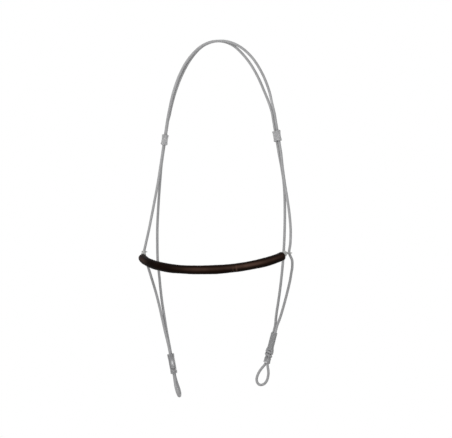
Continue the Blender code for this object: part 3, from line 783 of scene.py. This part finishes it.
def bow_at(line, along):
    """Points at distances along the bow, with the side that faces the horse and the side that faces up."""
    direction = unit_rows(np.gradient(line, axis=0))
    middle = nose_world([0, 0, 0])
    sideways = nose_world([1, 0, NOSE_SLOPE]) - middle
    backwards = nose_world([0, NOSE_BOW, NOSE_DROP]) - middle
    inward = unit_rows(np.cross(unit(np.cross(sideways, backwards)), direction))
    up = np.cross(direction, inward)
    sides = (unit_rows(read_off(line, side, along)) for side in (inward, up))
    return at_distances(line, along), *sides


def around_bow(points, inward, up, angle, radius):
    """Points at an angle and radius round the bow. Angle 0 faces the horse, and it turns upwards."""
    across = np.cos(angle)[..., None] * inward + np.sin(angle)[..., None] * up
    return points + radius[..., None] * across


def stitch_holes(length):
    """The distance along the bow and the angle round it of each hole of the seam."""
    stitches = round(length / STITCH_LENGTH) - 2
    n = np.arange(stitches + 1)
    along = (n + 1) / (stitches + 2) * length
    side = np.where(n % 2 == 1, 1, -1)
    return along, SEAM_ANGLE + side * STITCH_REACH / NOSE_RADIUS


def leather_relief(along, angle, length):
    """How far the leather's outer face stands off a true tube: unevenness, wrinkles, a dent and puckers."""
    rng = np.random.default_rng(RELIEF_SEED)
    relief = np.zeros(np.broadcast(along, angle).shape)
    for waves, amount in LEATHER_WAVES:
        for turns in WAVE_TURNS:
            phase, slant = rng.uniform(0, 2 * math.pi, 2)
            wave = np.sin(2 * math.pi * waves * along / length + turns * angle + phase)
            relief += amount * wave * math.cos(slant)
    for start in np.arange(WRINKLE_FROM_END, length - WRINKLE_FROM_END, WRINKLE_SPACING):
        at = start + rng.uniform(-WRINKLE_STRAY, WRINKLE_STRAY)
        middle = rng.uniform(-WRINKLE_ASIDE, WRINKLE_ASIDE)
        slant = rng.uniform(-WRINKLE_SLANT, WRINKLE_SLANT)
        depth = rng.uniform(*WRINKLE_DEPTHS)
        reach = rng.uniform(*WRINKLE_REACHES)
        aside = turned_apart(angle, middle)
        relief -= depth * bell(along - at - slant * aside, WRINKLE_WIDTH) * bell(aside, reach)
    flat = bell(along, END_DENT_LENGTH) * bell(turned_apart(angle, END_DENT_ANGLE), END_DENT_REACH)
    relief -= END_DENT_DEPTH * flat
    for at, turn in zip(*stitch_holes(length)):
        aside = turned_apart(angle, turn) * NOSE_RADIUS
        relief -= PUCKER_DEPTH * bell(along - at, PUCKER_REACH) * bell(aside, PUCKER_REACH)
    return relief


def leather_painted_highlight(share, angle):
    """Painted highlight on the leather: most on its upper front, where the light falls, and in light lines at
    two creases. share is along the tube.
    """
    painted_highlight = np.zeros(np.broadcast(share, angle).shape)
    for middle, reach, amount in HIGHLIGHT_STRETCHES:
        painted_highlight = painted_highlight + amount * bell(share - middle, reach)
    painted_highlight = painted_highlight * bell(turned_apart(angle, HIGHLIGHT_ANGLE), HIGHLIGHT_REACH)
    for middle, amount in CREASE_HIGHLIGHTS:
        crease_highlight = amount * bell(share - middle, CREASE_HIGHLIGHT_WIDTH_SHARE)
        painted_highlight = painted_highlight + crease_highlight * bell(turned_apart(angle, CREASE_HIGHLIGHT_ANGLE), CREASE_HIGHLIGHT_REACH)
    return painted_highlight


def strip_section():
    """The strip's section: each point's angle round the tube, and its depth from -1 inside to 1 outside."""
    lip = HALF_WALL / WALL_MIDDLE_RADIUS
    half_gap = SEAM_GAP / 2 / WALL_MIDDLE_RADIUS
    first = SEAM_ANGLE + half_gap + lip
    last = SEAM_ANGLE + 2 * math.pi - half_gap - lip
    arc = np.linspace(first, last, COVER_ARC_POINTS)
    bend = np.linspace(0, math.pi, LIP_POINTS + 2)[1:-1]
    angle = np.concatenate([arc, last + lip * np.sin(bend), arc[::-1], first - lip * np.sin(bend)])
    depth = np.concatenate([np.ones_like(arc), np.cos(bend), -np.ones_like(arc), -np.cos(bend)])
    return angle, depth


def strip_caps():
    """The faces that close the strip's section, as places in its ring of points."""
    outer = list(range(COVER_ARC_POINTS))
    inner = [2 * COVER_ARC_POINTS + LIP_POINTS - 1 - n for n in outer]
    faces = [[outer[n], outer[n + 1], inner[n + 1], inner[n]] for n in range(COVER_ARC_POINTS - 1)]
    faces.append([outer[-1]] + [COVER_ARC_POINTS + n for n in range(LIP_POINTS)] + [inner[-1]])
    first_lip = 2 * COVER_ARC_POINTS + LIP_POINTS
    faces.append([inner[0]] + [first_lip + n for n in range(LIP_POINTS)] + [outer[0]])
    return faces


def leather_cover():
    """The leather strip, rolled lengthwise round the core, with rounded edges at the seam and both ends."""
    line = bow_line()
    length = distances(line)[-1]
    rim = np.array(RIM_SHARES) * LEATHER_ROUNDING
    stations = np.linspace(rim[-1], length - rim[-1], COVER_STATIONS)
    along = np.concatenate([rim[:-1], stations, length - rim[-2::-1]])
    points, inward, up = bow_at(line, along)
    angle, depth = strip_section()
    near = np.clip(1 - np.minimum(along, length - along) / LEATHER_ROUNDING, 0, 1)
    wall = HALF_WALL - LEATHER_ROUNDING * (1 - np.sqrt(1 - near**2))
    outside = np.clip(depth, 0, 1)[None, :]
    relief = leather_relief(along[:, None], angle[None, :], length) * outside
    radius = WALL_MIDDLE_RADIUS + depth[None, :] * wall[:, None] + relief
    rings = around_bow(points[:, None, :], inward[:, None, :], up[:, None, :], angle[None, :], radius)
    edge = np.clip(1 - depth, 0, 1)[None, :] * np.ones_like(radius)
    edge = np.maximum(edge, smoothstep(0, 1, near)[:, None])
    # A painted highlight, on the outer face only
    painted_highlight = leather_painted_highlight(along[:, None] / length, angle[None, :]) * outside
    return ring_mesh("nose_leather", rings, {"edge": edge, "painted_highlight": painted_highlight}, cap=strip_caps())


def ply_crests(along, sides, plies, lay):
    """How high the surface of plies that are twisted together stands round a line, from 0 to 1."""
    angle = round_angles(sides)
    return np.abs(np.cos(plies / 2 * (angle[None, :] - 2 * math.pi * along[:, None] / lay)))


def laid(name, points, radius, plies, lay, sides):
    """A laid rope or thread: plies twisted together, with grooves between them."""
    crest = ply_crests(distances(points), sides, plies, lay)
    radii = radius * (1 - PLY_GROOVE_SHARE + PLY_GROOVE_SHARE * crest)
    return ring_mesh(name, round_rings(points, carried_frames(points), radii), {"crest": crest})


def rope_core():
    """The rope inside the leather. It stops short of the tube's ends."""
    line = bow_line()
    length = distances(line)[-1]
    wanted = np.linspace(CORE_SETBACK, length - CORE_SETBACK, round(length / CORE_STEP))
    return laid("nose_rope", at_distances(line, wanted), CORE_RADIUS, CORE_PLIES, CORE_LAY, CORE_SIDES)


def seam_thread():
    """One thread that zigzags over the seam and dips into a hole at each turn."""
    line = bow_line()
    hole_along, hole_angle = stitch_holes(distances(line)[-1])
    lift = NOSE_RADIUS + THREAD_RADIUS
    knots = []
    for n, (at, turn) in enumerate(zip(hole_along, hole_angle)):
        lean = math.copysign(STITCH_LEAN / NOSE_RADIUS, SEAM_ANGLE - turn)
        if n > 0:
            knots.append((at - STITCH_BEND, turn + lean, lift))
        knots.append((at, turn, NOSE_RADIUS - STITCH_SINK))
        if n < len(hole_along) - 1:
            knots.append((at + STITCH_BEND, turn + lean, lift))
            knots.append(((at + hole_along[n + 1]) / 2, SEAM_ANGLE, lift + STITCH_CREST))
    along, angle, radius = np.array(knots).T
    dense = catmull_rom(around_bow(*bow_at(line, along), angle, radius))
    run = distances(dense)[-1]
    points = at_distances(dense, np.linspace(0, run, round(run / THREAD_STEP)))
    return laid("nose_stitching", points, THREAD_RADIUS, THREAD_PLIES, THREAD_LAY, THREAD_SIDES)


def eye_neck(side):
    """An eye's middle line inside the tube, its neck's two ends, its centre and the level way out."""
    line = bow_line()
    if side < 0:
        line = line[::-1]
    length = distances(line)[-1]
    lift = np.array([0, 0, EYE_LIFT])
    inside = list(at_distances(line, length - EYE_ROOT * np.array(EYE_ROOT_SHARES)) + lift)
    mouth = line[-1]
    eye = np.array(LEFT_EYE if side < 0 else RIGHT_EYE) - [side * EYE_BEARING, 0, 0]
    level = np.array([eye[0] - mouth[0], eye[1] - mouth[1], 0])
    crest = mouth + level * NECK_LENGTH_SHARE
    crest[2] = eye[2] - NECK_CREST
    return inside, mouth + lift, crest, eye, unit(level)


def neck_frame(mouth, crest):
    """The direction of an eye's neck, and the direction from its lower leg to its upper leg."""
    neck = unit(crest - mouth)
    return neck, unit(np.array([0, 0, 1]) - neck * neck[2])


def nose_eye(side, name):
    """A hairpin of braided cord: two legs out of the tube, one above the other, that open round a strand."""
    inside, mouth, crest, eye, level = eye_neck(side)
    _, upper = neck_frame(mouth, crest)
    across = np.array([-level[1], level[0], 0])
    sideways = EYE_INNER_RADIUS + EYE_CORD_DIAMETER / 2
    outwards = sideways + EYE_SWING_ROOM
    ring = []
    for degrees in EYE_RING_ANGLES:
        a = math.radians(degrees)
        point = eye + sideways * math.sin(a) * across - outwards * math.cos(a) * level
        point[2] += EYE_LEAN * math.cos(a / 2)
        ring.append(point)
    spine = inside + [mouth + (crest - mouth) * share for share in EYE_NECK_SHARES]
    upper_leg = [p + NECK_SPREAD / 2 * upper for p in spine]
    lower_leg = [p - NECK_SPREAD / 2 * upper for p in spine]
    dense = catmull_rom(upper_leg + ring + lower_leg[::-1])
    scale = EYE_CORD_DIAMETER / CORD_DIAMETER
    length = distances(dense)[-1]
    count = round(length / (BRAID_PICK * scale) * STEPS_PER_PICK)
    along = np.linspace(0, length, count)
    points = at_distances(dense, along)
    frames = carried_frames(points, (0, 0, 1))
    return braided(name, points, along, frames, scale, EYE_PAIRS, EYE_SIDES)


# Lashings


def lashing(
    name, place, half_apart, reach, pitch, turns, half_width, half_depth, lay,
    level=(0, 0), start=0.0, spread=0.0, swell=None
):
    """Turns of twine or cord round two strands that lie along local X. Its ends tuck in under the turns.

    reach goes from a strand's middle to the twine's, and swell adds to it by height. lay is the length of one
    twist of the plies, and level the turns at the top and the foot that don't climb. start is the angle where
    the turns start, and spread how much wider the twine is at the middle of its run.
    """
    last = 2 * math.pi * turns
    steps = round(STEPS_PER_TURN * (turns + TUCK_ANGLE / math.pi))
    angle = np.linspace(-TUCK_ANGLE, last + TUCK_ANGLE, steps)
    run_in = smoothstep(-TUCK_ANGLE, 0, angle) * smoothstep(-TUCK_ANGLE, 0, last - angle)
    wound = np.interp(angle, [2 * math.pi * level[0], last - 2 * math.pi * level[1]], [0, turns])
    height = pitch * (turns / 2 - wound)
    out = reach - (1 - run_in) * TUCK_SHARE * half_depth
    if swell is not None:
        out = out + swell(height)
    wide = half_width * (1 + spread * bell(angle - last / 2, SPREAD_REACH))
    angle = angle + start
    toward = np.cos(angle) / np.sqrt(np.cos(angle) ** 2 + CORNER_SHARE**2)
    local = np.stack([half_apart * toward + out * np.cos(angle), out * np.sin(angle), height], axis=1)
    tangent = unit_rows(np.gradient(local, axis=0))
    outward = unit_rows(np.cross(tangent, [0, 0, 1]))
    axial = np.cross(tangent, outward)
    crest = ply_crests(distances(local), TWINE_SIDES, TWINE_PLIES, lay)
    tucked = TUCKED_SIZE_SHARE + (1 - TUCKED_SIZE_SHARE) * run_in
    size = (1 - TWINE_GROOVE_SHARE + TWINE_GROOVE_SHARE * crest) * tucked[:, None]
    turn = round_angles(TWINE_SIDES)[None, :]
    deep = (size * half_depth * np.cos(turn))[:, :, None] * outward[:, None, :]
    broad = (size * wide[:, None] * np.sin(turn))[:, :, None] * axial[:, None, :]
    return ring_mesh(name, placed(local[:, None, :] + deep + broad, place), {"crest": crest})


def half_height(lash, twine):
    """Half the height of a lashing in local Z, with the twine's own thickness."""
    return (lash["pitch"] * lash["turns"] + twine) / 2


def nose_seizing(side, name):
    """Turns of twine round the neck of an eye."""
    _, mouth, crest, _, _ = eye_neck(side)
    neck, upper = neck_frame(mouth, crest)
    middle = mouth + neck * (SEIZING_START + SEIZING["pitch"] * SEIZING["turns"] / 2)
    return lashing(name, placement(middle, neck, upper), NECK_SPREAD / 2, **SEIZING)


def knot_swell(height):
    """The knot is fuller from its middle up."""
    return KNOT_SWELL * smoothstep(*KNOT_SWELL_HEIGHTS, height) - KNOT_SHRINK


def whipping_swell(height):
    """The whipping's last turns stand off further."""
    foot = -half_height(WHIPPING, WHIPPING_TWINE)
    return WHIPPING_SWELL * (1 - smoothstep(foot, foot + WHIPPING_SWELL_REACH, height))


# Sleeves


def sleeve(
    name, place, length, play, bore_radius, wall, waist, flare_top=0.0, flare_foot=0.0, ear=0.0, painted_glint=None
):
    """An oval sleeve round two strands that lie along local X, with rounded lips, flared mouths and a waist.

    ear is how much further a mouth reaches at the oval's ends than at its sides. The last argument gives a
    painted highlight, a pale patch: the angle round the sleeve, and the share of its half length from its
    middle.
    """
    spread = PAIR_HALF_APART + CORD_RADIUS + play - bore_radius
    lip = wall / 2
    half = length / 2 - lip
    rise = np.linspace(-half, half, SLEEVE_STATIONS)
    bend = np.linspace(0, math.pi, LIP_POINTS + 2)[1:-1]
    height = np.concatenate([rise, half + lip * np.sin(bend), rise[::-1], -half - lip * np.sin(bend)])
    outside = np.full_like(rise, wall)
    inside = np.zeros_like(rise)
    offset = np.concatenate([outside, lip + lip * np.cos(bend), inside, lip - lip * np.cos(bend)])
    share = height / (length / 2)
    offset = offset + flare_top * smoothstep(FLARE_FROM_SHARE, 1, share)
    offset = offset + flare_foot * smoothstep(FLARE_FROM_SHARE, 1, -share)
    turn = round_angles(SLEEVE_SIDES)
    c = np.cos(turn)[None, :]
    s = np.sin(turn)[None, :]
    toward = c / np.sqrt(c**2 + OVAL_CORNER_SHARE**2)
    radius = bore_radius + offset[:, None] - waist * bell(c, WAIST_REACH_SHARE)
    lift = ear * (c**2 - 0.5) * (np.sign(share) * np.abs(share) ** EAR_POWER)[:, None]
    local = np.stack([spread * toward + radius * c, radius * s, height[:, None] + lift], axis=2)
    values = {}
    # A pale patch where a highlight is painted
    if painted_glint is not None:
        around = bell(turned_apart(turn, painted_glint[0]), PAINTED_GLINT_TURN)
        values["painted_glint"] = around[None, :] * bell(share - painted_glint[1], PAINTED_GLINT_LENGTH_SHARE)[:, None]
    return ring_mesh(name, placed(local, place), values, wrap=True)


# Materials


def new_material(name):
    material = bpy.data.materials.new(name)
    material.use_nodes = True
    return material, material.node_tree, material.node_tree.nodes["Principled BSDF"]


def noise(tree, scale, detail):
    """Noise fixed to the object."""
    place = tree.nodes.new("ShaderNodeTexCoord")
    texture = tree.nodes.new("ShaderNodeTexNoise")
    texture.inputs["Scale"].default_value = scale
    texture.inputs["Detail"].default_value = detail
    tree.links.new(place.outputs["Object"], texture.inputs["Vector"])
    return texture.outputs["Fac"]


def point_value(tree, name):
    """A value that the mesh holds at each of its points."""
    node = tree.nodes.new("ShaderNodeAttribute")
    node.attribute_name = name
    return node.outputs["Fac"]


def remap(tree, value, low, high, from_low=0.0, from_high=1.0):
    node = tree.nodes.new("ShaderNodeMapRange")
    node.inputs["From Min"].default_value = from_low
    node.inputs["From Max"].default_value = from_high
    node.inputs["To Min"].default_value = low
    node.inputs["To Max"].default_value = high
    tree.links.new(value, node.inputs["Value"])
    return node.outputs["Result"]


def patches(tree, scale, detail, low, high, from_low=NOISE_LOW):
    """Noise that moves a value between two levels."""
    return remap(tree, noise(tree, scale, detail), low, high, from_low, NOISE_HIGH)


def combine(tree, operation, a, b):
    node = tree.nodes.new("ShaderNodeMath")
    node.operation = operation
    for socket, value in zip(node.inputs, (a, b)):
        if isinstance(value, (int, float)):
            socket.default_value = value
        else:
            tree.links.new(value, socket)
    return node.outputs["Value"]


def blend_colours(tree, share, low, high):
    """A colour between two colours. Each is a colour or another node's output."""
    node = tree.nodes.new("ShaderNodeMix")
    node.data_type = "RGBA"
    tree.links.new(share, node.inputs["Factor"])
    for socket, colour in ((node.inputs[6], low), (node.inputs[7], high)):
        if isinstance(colour, tuple):
            socket.default_value = (*colour, 1)
        else:
            tree.links.new(colour, socket)
    return node.outputs[2]


def dimmed(tree, colour, factor):
    """A colour times a factor."""
    node = tree.nodes.new("ShaderNodeVectorMath")
    node.operation = "SCALE"
    tree.links.new(colour, node.inputs[0])
    tree.links.new(factor, node.inputs["Scale"])
    return node.outputs["Vector"]


def add_bump(tree, shader, height, strength, distance):
    """Adds a bump over any that the shader already has."""
    node = tree.nodes.new("ShaderNodeBump")
    node.inputs["Strength"].default_value = strength
    node.inputs["Distance"].default_value = distance
    tree.links.new(height, node.inputs["Height"])
    if shader.inputs["Normal"].is_linked:
        tree.links.new(shader.inputs["Normal"].links[0].from_socket, node.inputs["Normal"])
    tree.links.new(node.outputs["Normal"], shader.inputs["Normal"])


def add_noise_bump(tree, shader, scale, detail, strength, distance):
    add_bump(tree, shader, noise(tree, scale, detail), strength, distance)


def fibre_material(name, groove_shade, crest, roughness, sheen, is_braid):
    """Cord or twine: painted shade in its grooves, its own pale colour on its crests, with fibres too fine to
    model.
    """
    material, tree, shader = new_material(name)
    # Painted shade in the grooves, the fibre's own colour on the crests
    height = combine(tree, "POWER", point_value(tree, "crest"), FIBRE_CREST_POWER)
    colour = blend_colours(tree, height, groove_shade, crest)
    shades = [patches(tree, *FIBRE_SPECKS), patches(tree, *FIBRE_BLOTCHES)]
    if is_braid:
        shades.append(remap(tree, point_value(tree, "tone"), *FIBRE_TONES))
        # Painted light high on the cord, and darker stretches lower down
        shades.append(combine(tree, "ADD", point_value(tree, "lighter_or_darker"), 1.0))
    for shade in shades:
        colour = dimmed(tree, colour, shade)
    tree.links.new(colour, shader.inputs["Base Color"])
    smooth = roughness - FIBRE_ROUGHNESS_SPREAD
    rough = roughness + FIBRE_ROUGHNESS_SPREAD
    varied = remap(tree, noise(tree, *FIBRE_ROUGHNESS_NOISE), smooth, rough)
    tree.links.new(varied, shader.inputs["Roughness"])
    shader.inputs["Sheen Weight"].default_value = sheen
    shader.inputs["Sheen Roughness"].default_value = FIBRE_SHEEN_ROUGHNESS
    add_noise_bump(tree, shader, *FIBRE_BUMP)
    return material


def leather_material():
    """Nearly black brown leather with a fine grain, a soft shine, a painted brown highlight on its upper
    front and at two creases, and bare brown edges.
    """
    material, tree, shader = new_material("leather")
    body = blend_colours(tree, patches(tree, *LEATHER_BLOTCHES), LEATHER_DARK, LEATHER_LIGHT)
    # A painted highlight, broken up by noise, over the leather's own colour
    painted_highlight = combine(tree, "MULTIPLY", point_value(tree, "painted_highlight"), patches(tree, *HIGHLIGHT_BLOTCHES))
    body = blend_colours(tree, painted_highlight, body, LEATHER_PAINTED_HIGHLIGHT)
    colour = blend_colours(tree, point_value(tree, "edge"), body, LEATHER_EDGE)
    tree.links.new(colour, shader.inputs["Base Color"])
    tree.links.new(patches(tree, *LEATHER_ROUGHNESS), shader.inputs["Roughness"])
    shader.inputs["Specular IOR Level"].default_value = LEATHER_SPECULAR
    shader.inputs["Specular Tint"].default_value = LEATHER_SPECULAR_TINT
    place = tree.nodes.new("ShaderNodeTexCoord")
    grain = tree.nodes.new("ShaderNodeTexVoronoi")
    grain.feature = "SMOOTH_F1"
    grain.inputs["Scale"].default_value = GRAIN_SCALE
    grain.inputs["Smoothness"].default_value = GRAIN_SMOOTHNESS
    tree.links.new(place.outputs["Object"], grain.inputs["Vector"])
    add_bump(tree, shader, grain.outputs["Distance"], *GRAIN_BUMP)
    add_noise_bump(tree, shader, *LEATHER_BUMP)
    return material


def sleeve_material(name, dark, light):
    """A satin, slightly see-through grey plastic, a little scuffed, with a painted highlight that makes one
    patch paler.
    """
    material, tree, shader = new_material(name)
    colour = blend_colours(tree, patches(tree, *PLASTIC_BLOTCHES, PLASTIC_NOISE_LOW), dark, light)
    # Painted highlight
    colour = blend_colours(tree, point_value(tree, "painted_glint"), colour, PAINTED_GLINT_COLOUR)
    tree.links.new(colour, shader.inputs["Base Color"])
    tree.links.new(patches(tree, *PLASTIC_ROUGHNESS), shader.inputs["Roughness"])
    shader.inputs["Transmission Weight"].default_value = PLASTIC_TRANSMISSION
    shader.inputs["IOR"].default_value = PLASTIC_IOR
    add_noise_bump(tree, shader, *PLASTIC_BUMP)
    return material


def all_materials():
    """Each material by its name."""
    looks = {name: fibre_material(name, *look) for name, look in FIBRE_LOOKS.items()}
    looks["leather"] = leather_material()
    for name, look in SLEEVE_LOOKS.items():
        looks[name] = sleeve_material(name, *look)
    return looks


# Light


def background_seen(tree):
    """1 where the camera sees the background itself, in a reflection or through a piece, and 0 elsewhere."""
    path = tree.nodes.new("ShaderNodeLightPath")
    bounced = combine(tree, "MAXIMUM", path.outputs["Is Glossy Ray"], path.outputs["Is Transmission Ray"])
    return combine(tree, "MAXIMUM", path.outputs["Is Camera Ray"], bounced)


def make_world():
    """Even light from all round, with a white background."""
    world = bpy.data.worlds.new("studio")
    bpy.context.scene.world = world
    world.use_nodes = True
    tree = world.node_tree
    background = tree.nodes["Background"]
    background.inputs["Color"].default_value = WHITE
    tree.links.new(remap(tree, background_seen(tree), WORLD_LIGHT, 1.0), background.inputs["Strength"])


def make_lamps():
    """A soft key lamp from the upper left front, a fill lamp from the right and one from behind."""
    for name, place, size, power in LAMPS:
        data = bpy.data.lights.new(name, "AREA")
        data.shape = "SQUARE"
        data.size = size
        data.energy = power
        lamp = bpy.data.objects.new(name, data)
        bpy.context.scene.collection.objects.link(lamp)
        lamp.location = place
        aim = Vector(LAMP_AIM) - Vector(place)
        lamp.rotation_euler = aim.to_track_quat("-Z", "Y").to_euler()


def make_floor():
    """A plain pale floor that glows where the camera sees it."""
    mesh = bpy.data.meshes.new("floor")
    corners = [(x * FLOOR_REACH, y * FLOOR_REACH, FLOOR_HEIGHT) for x, y in FLOOR_CORNERS]
    mesh.from_pydata(corners, [], [(0, 1, 2, 3)])
    floor = bpy.data.objects.new("floor", mesh)
    bpy.context.scene.collection.objects.link(floor)
    material, tree, shader = new_material("floor")
    shader.inputs["Base Color"].default_value = FLOOR_COLOUR
    shader.inputs["Roughness"].default_value = FLOOR_ROUGHNESS
    glow = tree.nodes.new("ShaderNodeEmission")
    glow.inputs["Color"].default_value = WHITE
    mix = tree.nodes.new("ShaderNodeMixShader")
    tree.links.new(remap(tree, background_seen(tree), 0.0, FLOOR_GLOW), mix.inputs["Fac"])
    tree.links.new(shader.outputs["BSDF"], mix.inputs[1])
    tree.links.new(glow.outputs["Emission"], mix.inputs[2])
    tree.links.new(mix.outputs["Shader"], tree.nodes["Material Output"].inputs["Surface"])
    floor.data.materials.append(material)


# The whole noseband


def set_material(piece, look):
    piece.data.materials.clear()
    piece.data.materials.append(materials[look])


def dress(piece, look, body, node):
    """Gives a piece its material and slot, puts it on its body, and hides the node it replaces."""
    set_material(piece, look)
    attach(piece, body)
    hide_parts(node)


def dress_noseband():
    """The tube with its core and stitching, and the two eyes with their seizings."""
    dress(leather_cover(), "leather", "noseband", "nose_leather_cover")
    dress(rope_core(), "rope", "noseband", "nose_rope_core")
    dress(seam_thread(), "thread", "noseband", "nose_seam_thread")
    for side, word in ((-1, "left"), (1, "right")):
        eye = nose_eye(side, f"{word}_eye")
        dress(eye, "pale_cord", "noseband", f"{word}_nose_eye")
        seizing = nose_seizing(side, f"{word}_seizing")
        dress(seizing, "twine", "noseband", f"{word}_nose_seizing")


def dress_keeper(word, pair, drop):
    """A keeper sleeve at its height on its pair of strands."""
    high, low = np.array(pair[0]), np.array(pair[1])
    place = on_pair(pair, drop * np.linalg.norm(high - low) / (high[2] - low[2]))
    piece = sleeve(f"{word}_keeper_sleeve", place, **KEEPER)
    dress(piece, "keeper", f"{word}_keeper", f"{word}_cheek_keeper")
    return piece


def dress_left_end():
    """The long sleeve and the short winding above the left loop."""
    stretch = math.dist(LEFT_END_PAIR[0], LEFT_END_PAIR[1])
    place = on_pair(LEFT_END_PAIR, stretch - LEFT_SLEEVE_ABOVE_END)
    piece = sleeve("left_sleeve", place, **LEFT_SLEEVE)
    dress(piece, "sleeve", "left_leg", "left_loop_sleeve")
    place = below(place, LEFT_SLEEVE["length"] / 2 + 2 * BUTT_GAP + half_height(WINDING, WINDING_TWINE))
    winding = lashing("left_winding", place, PAIR_HALF_APART, **WINDING)
    dress(winding, "lashing", "left_leg", "left_end_winding")
    return [piece, winding]


def dress_right_end():
    """The whipping, the knot and the collar above the right loop."""
    stretch = math.dist(RIGHT_END_PAIR[0], RIGHT_END_PAIR[1])
    place = on_pair(RIGHT_END_PAIR, stretch)
    collar = sleeve("right_collar", place, **COLLAR)
    dress(collar, "sleeve", "right_leg", "right_loop_collar")
    knot_half = half_height(KNOT, KNOT_CORD)
    place = below(place, -(COLLAR["length"] / 2 + 2 * BUTT_GAP + knot_half))
    knot = lashing("right_knot", place, PAIR_HALF_APART, swell=knot_swell, **KNOT)
    dress(knot, "lashing", "right_leg", "right_end_knot")
    place = below(place, -(knot_half + 2 * BUTT_GAP + half_height(WHIPPING, WHIPPING_TWINE)))
    whipping = lashing("right_whipping", place, PAIR_HALF_APART, swell=whipping_swell, **WHIPPING)
    dress(whipping, "lashing", "right_leg", "right_end_whipping")
    return [whipping, knot, collar]


def hang_crown(name):
    """A crown cord rides on the headstall."""
    piece, line = cords[name]
    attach(piece, "headstall")
    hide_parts(f"{name}_cord")


def hang_leg(word):
    """A lower end's cord, with its placement baked into its mesh, stands for the leg strands and the loop."""
    piece, line = cords[f"{word}_leg_cord"]
    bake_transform(piece)
    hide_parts(f"{word}_front_leg_cord", f"{word}_rear_leg_cord", f"{word}_tie_down_loop")


make_camera()
materials = all_materials()
cords = cut_cords()
for piece, _ in cords.values():
    set_material(piece, "cord")
dress_noseband()
left_keeper = dress_keeper("left", LEFT_CHEEK_PAIR, LEFT_KEEPER_DROP)
right_keeper = dress_keeper("right", RIGHT_CHEEK_PAIR, RIGHT_KEEPER_DROP)
left_fittings = dress_left_end()
right_fittings = dress_right_end()
hang_crown("crown_outer")
hang_crown("crown_inner")
hang_leg("left")
hang_leg("right")

bpy.context.scene.view_settings.view_transform = "Standard"
make_world()
make_lamps()
make_floor()
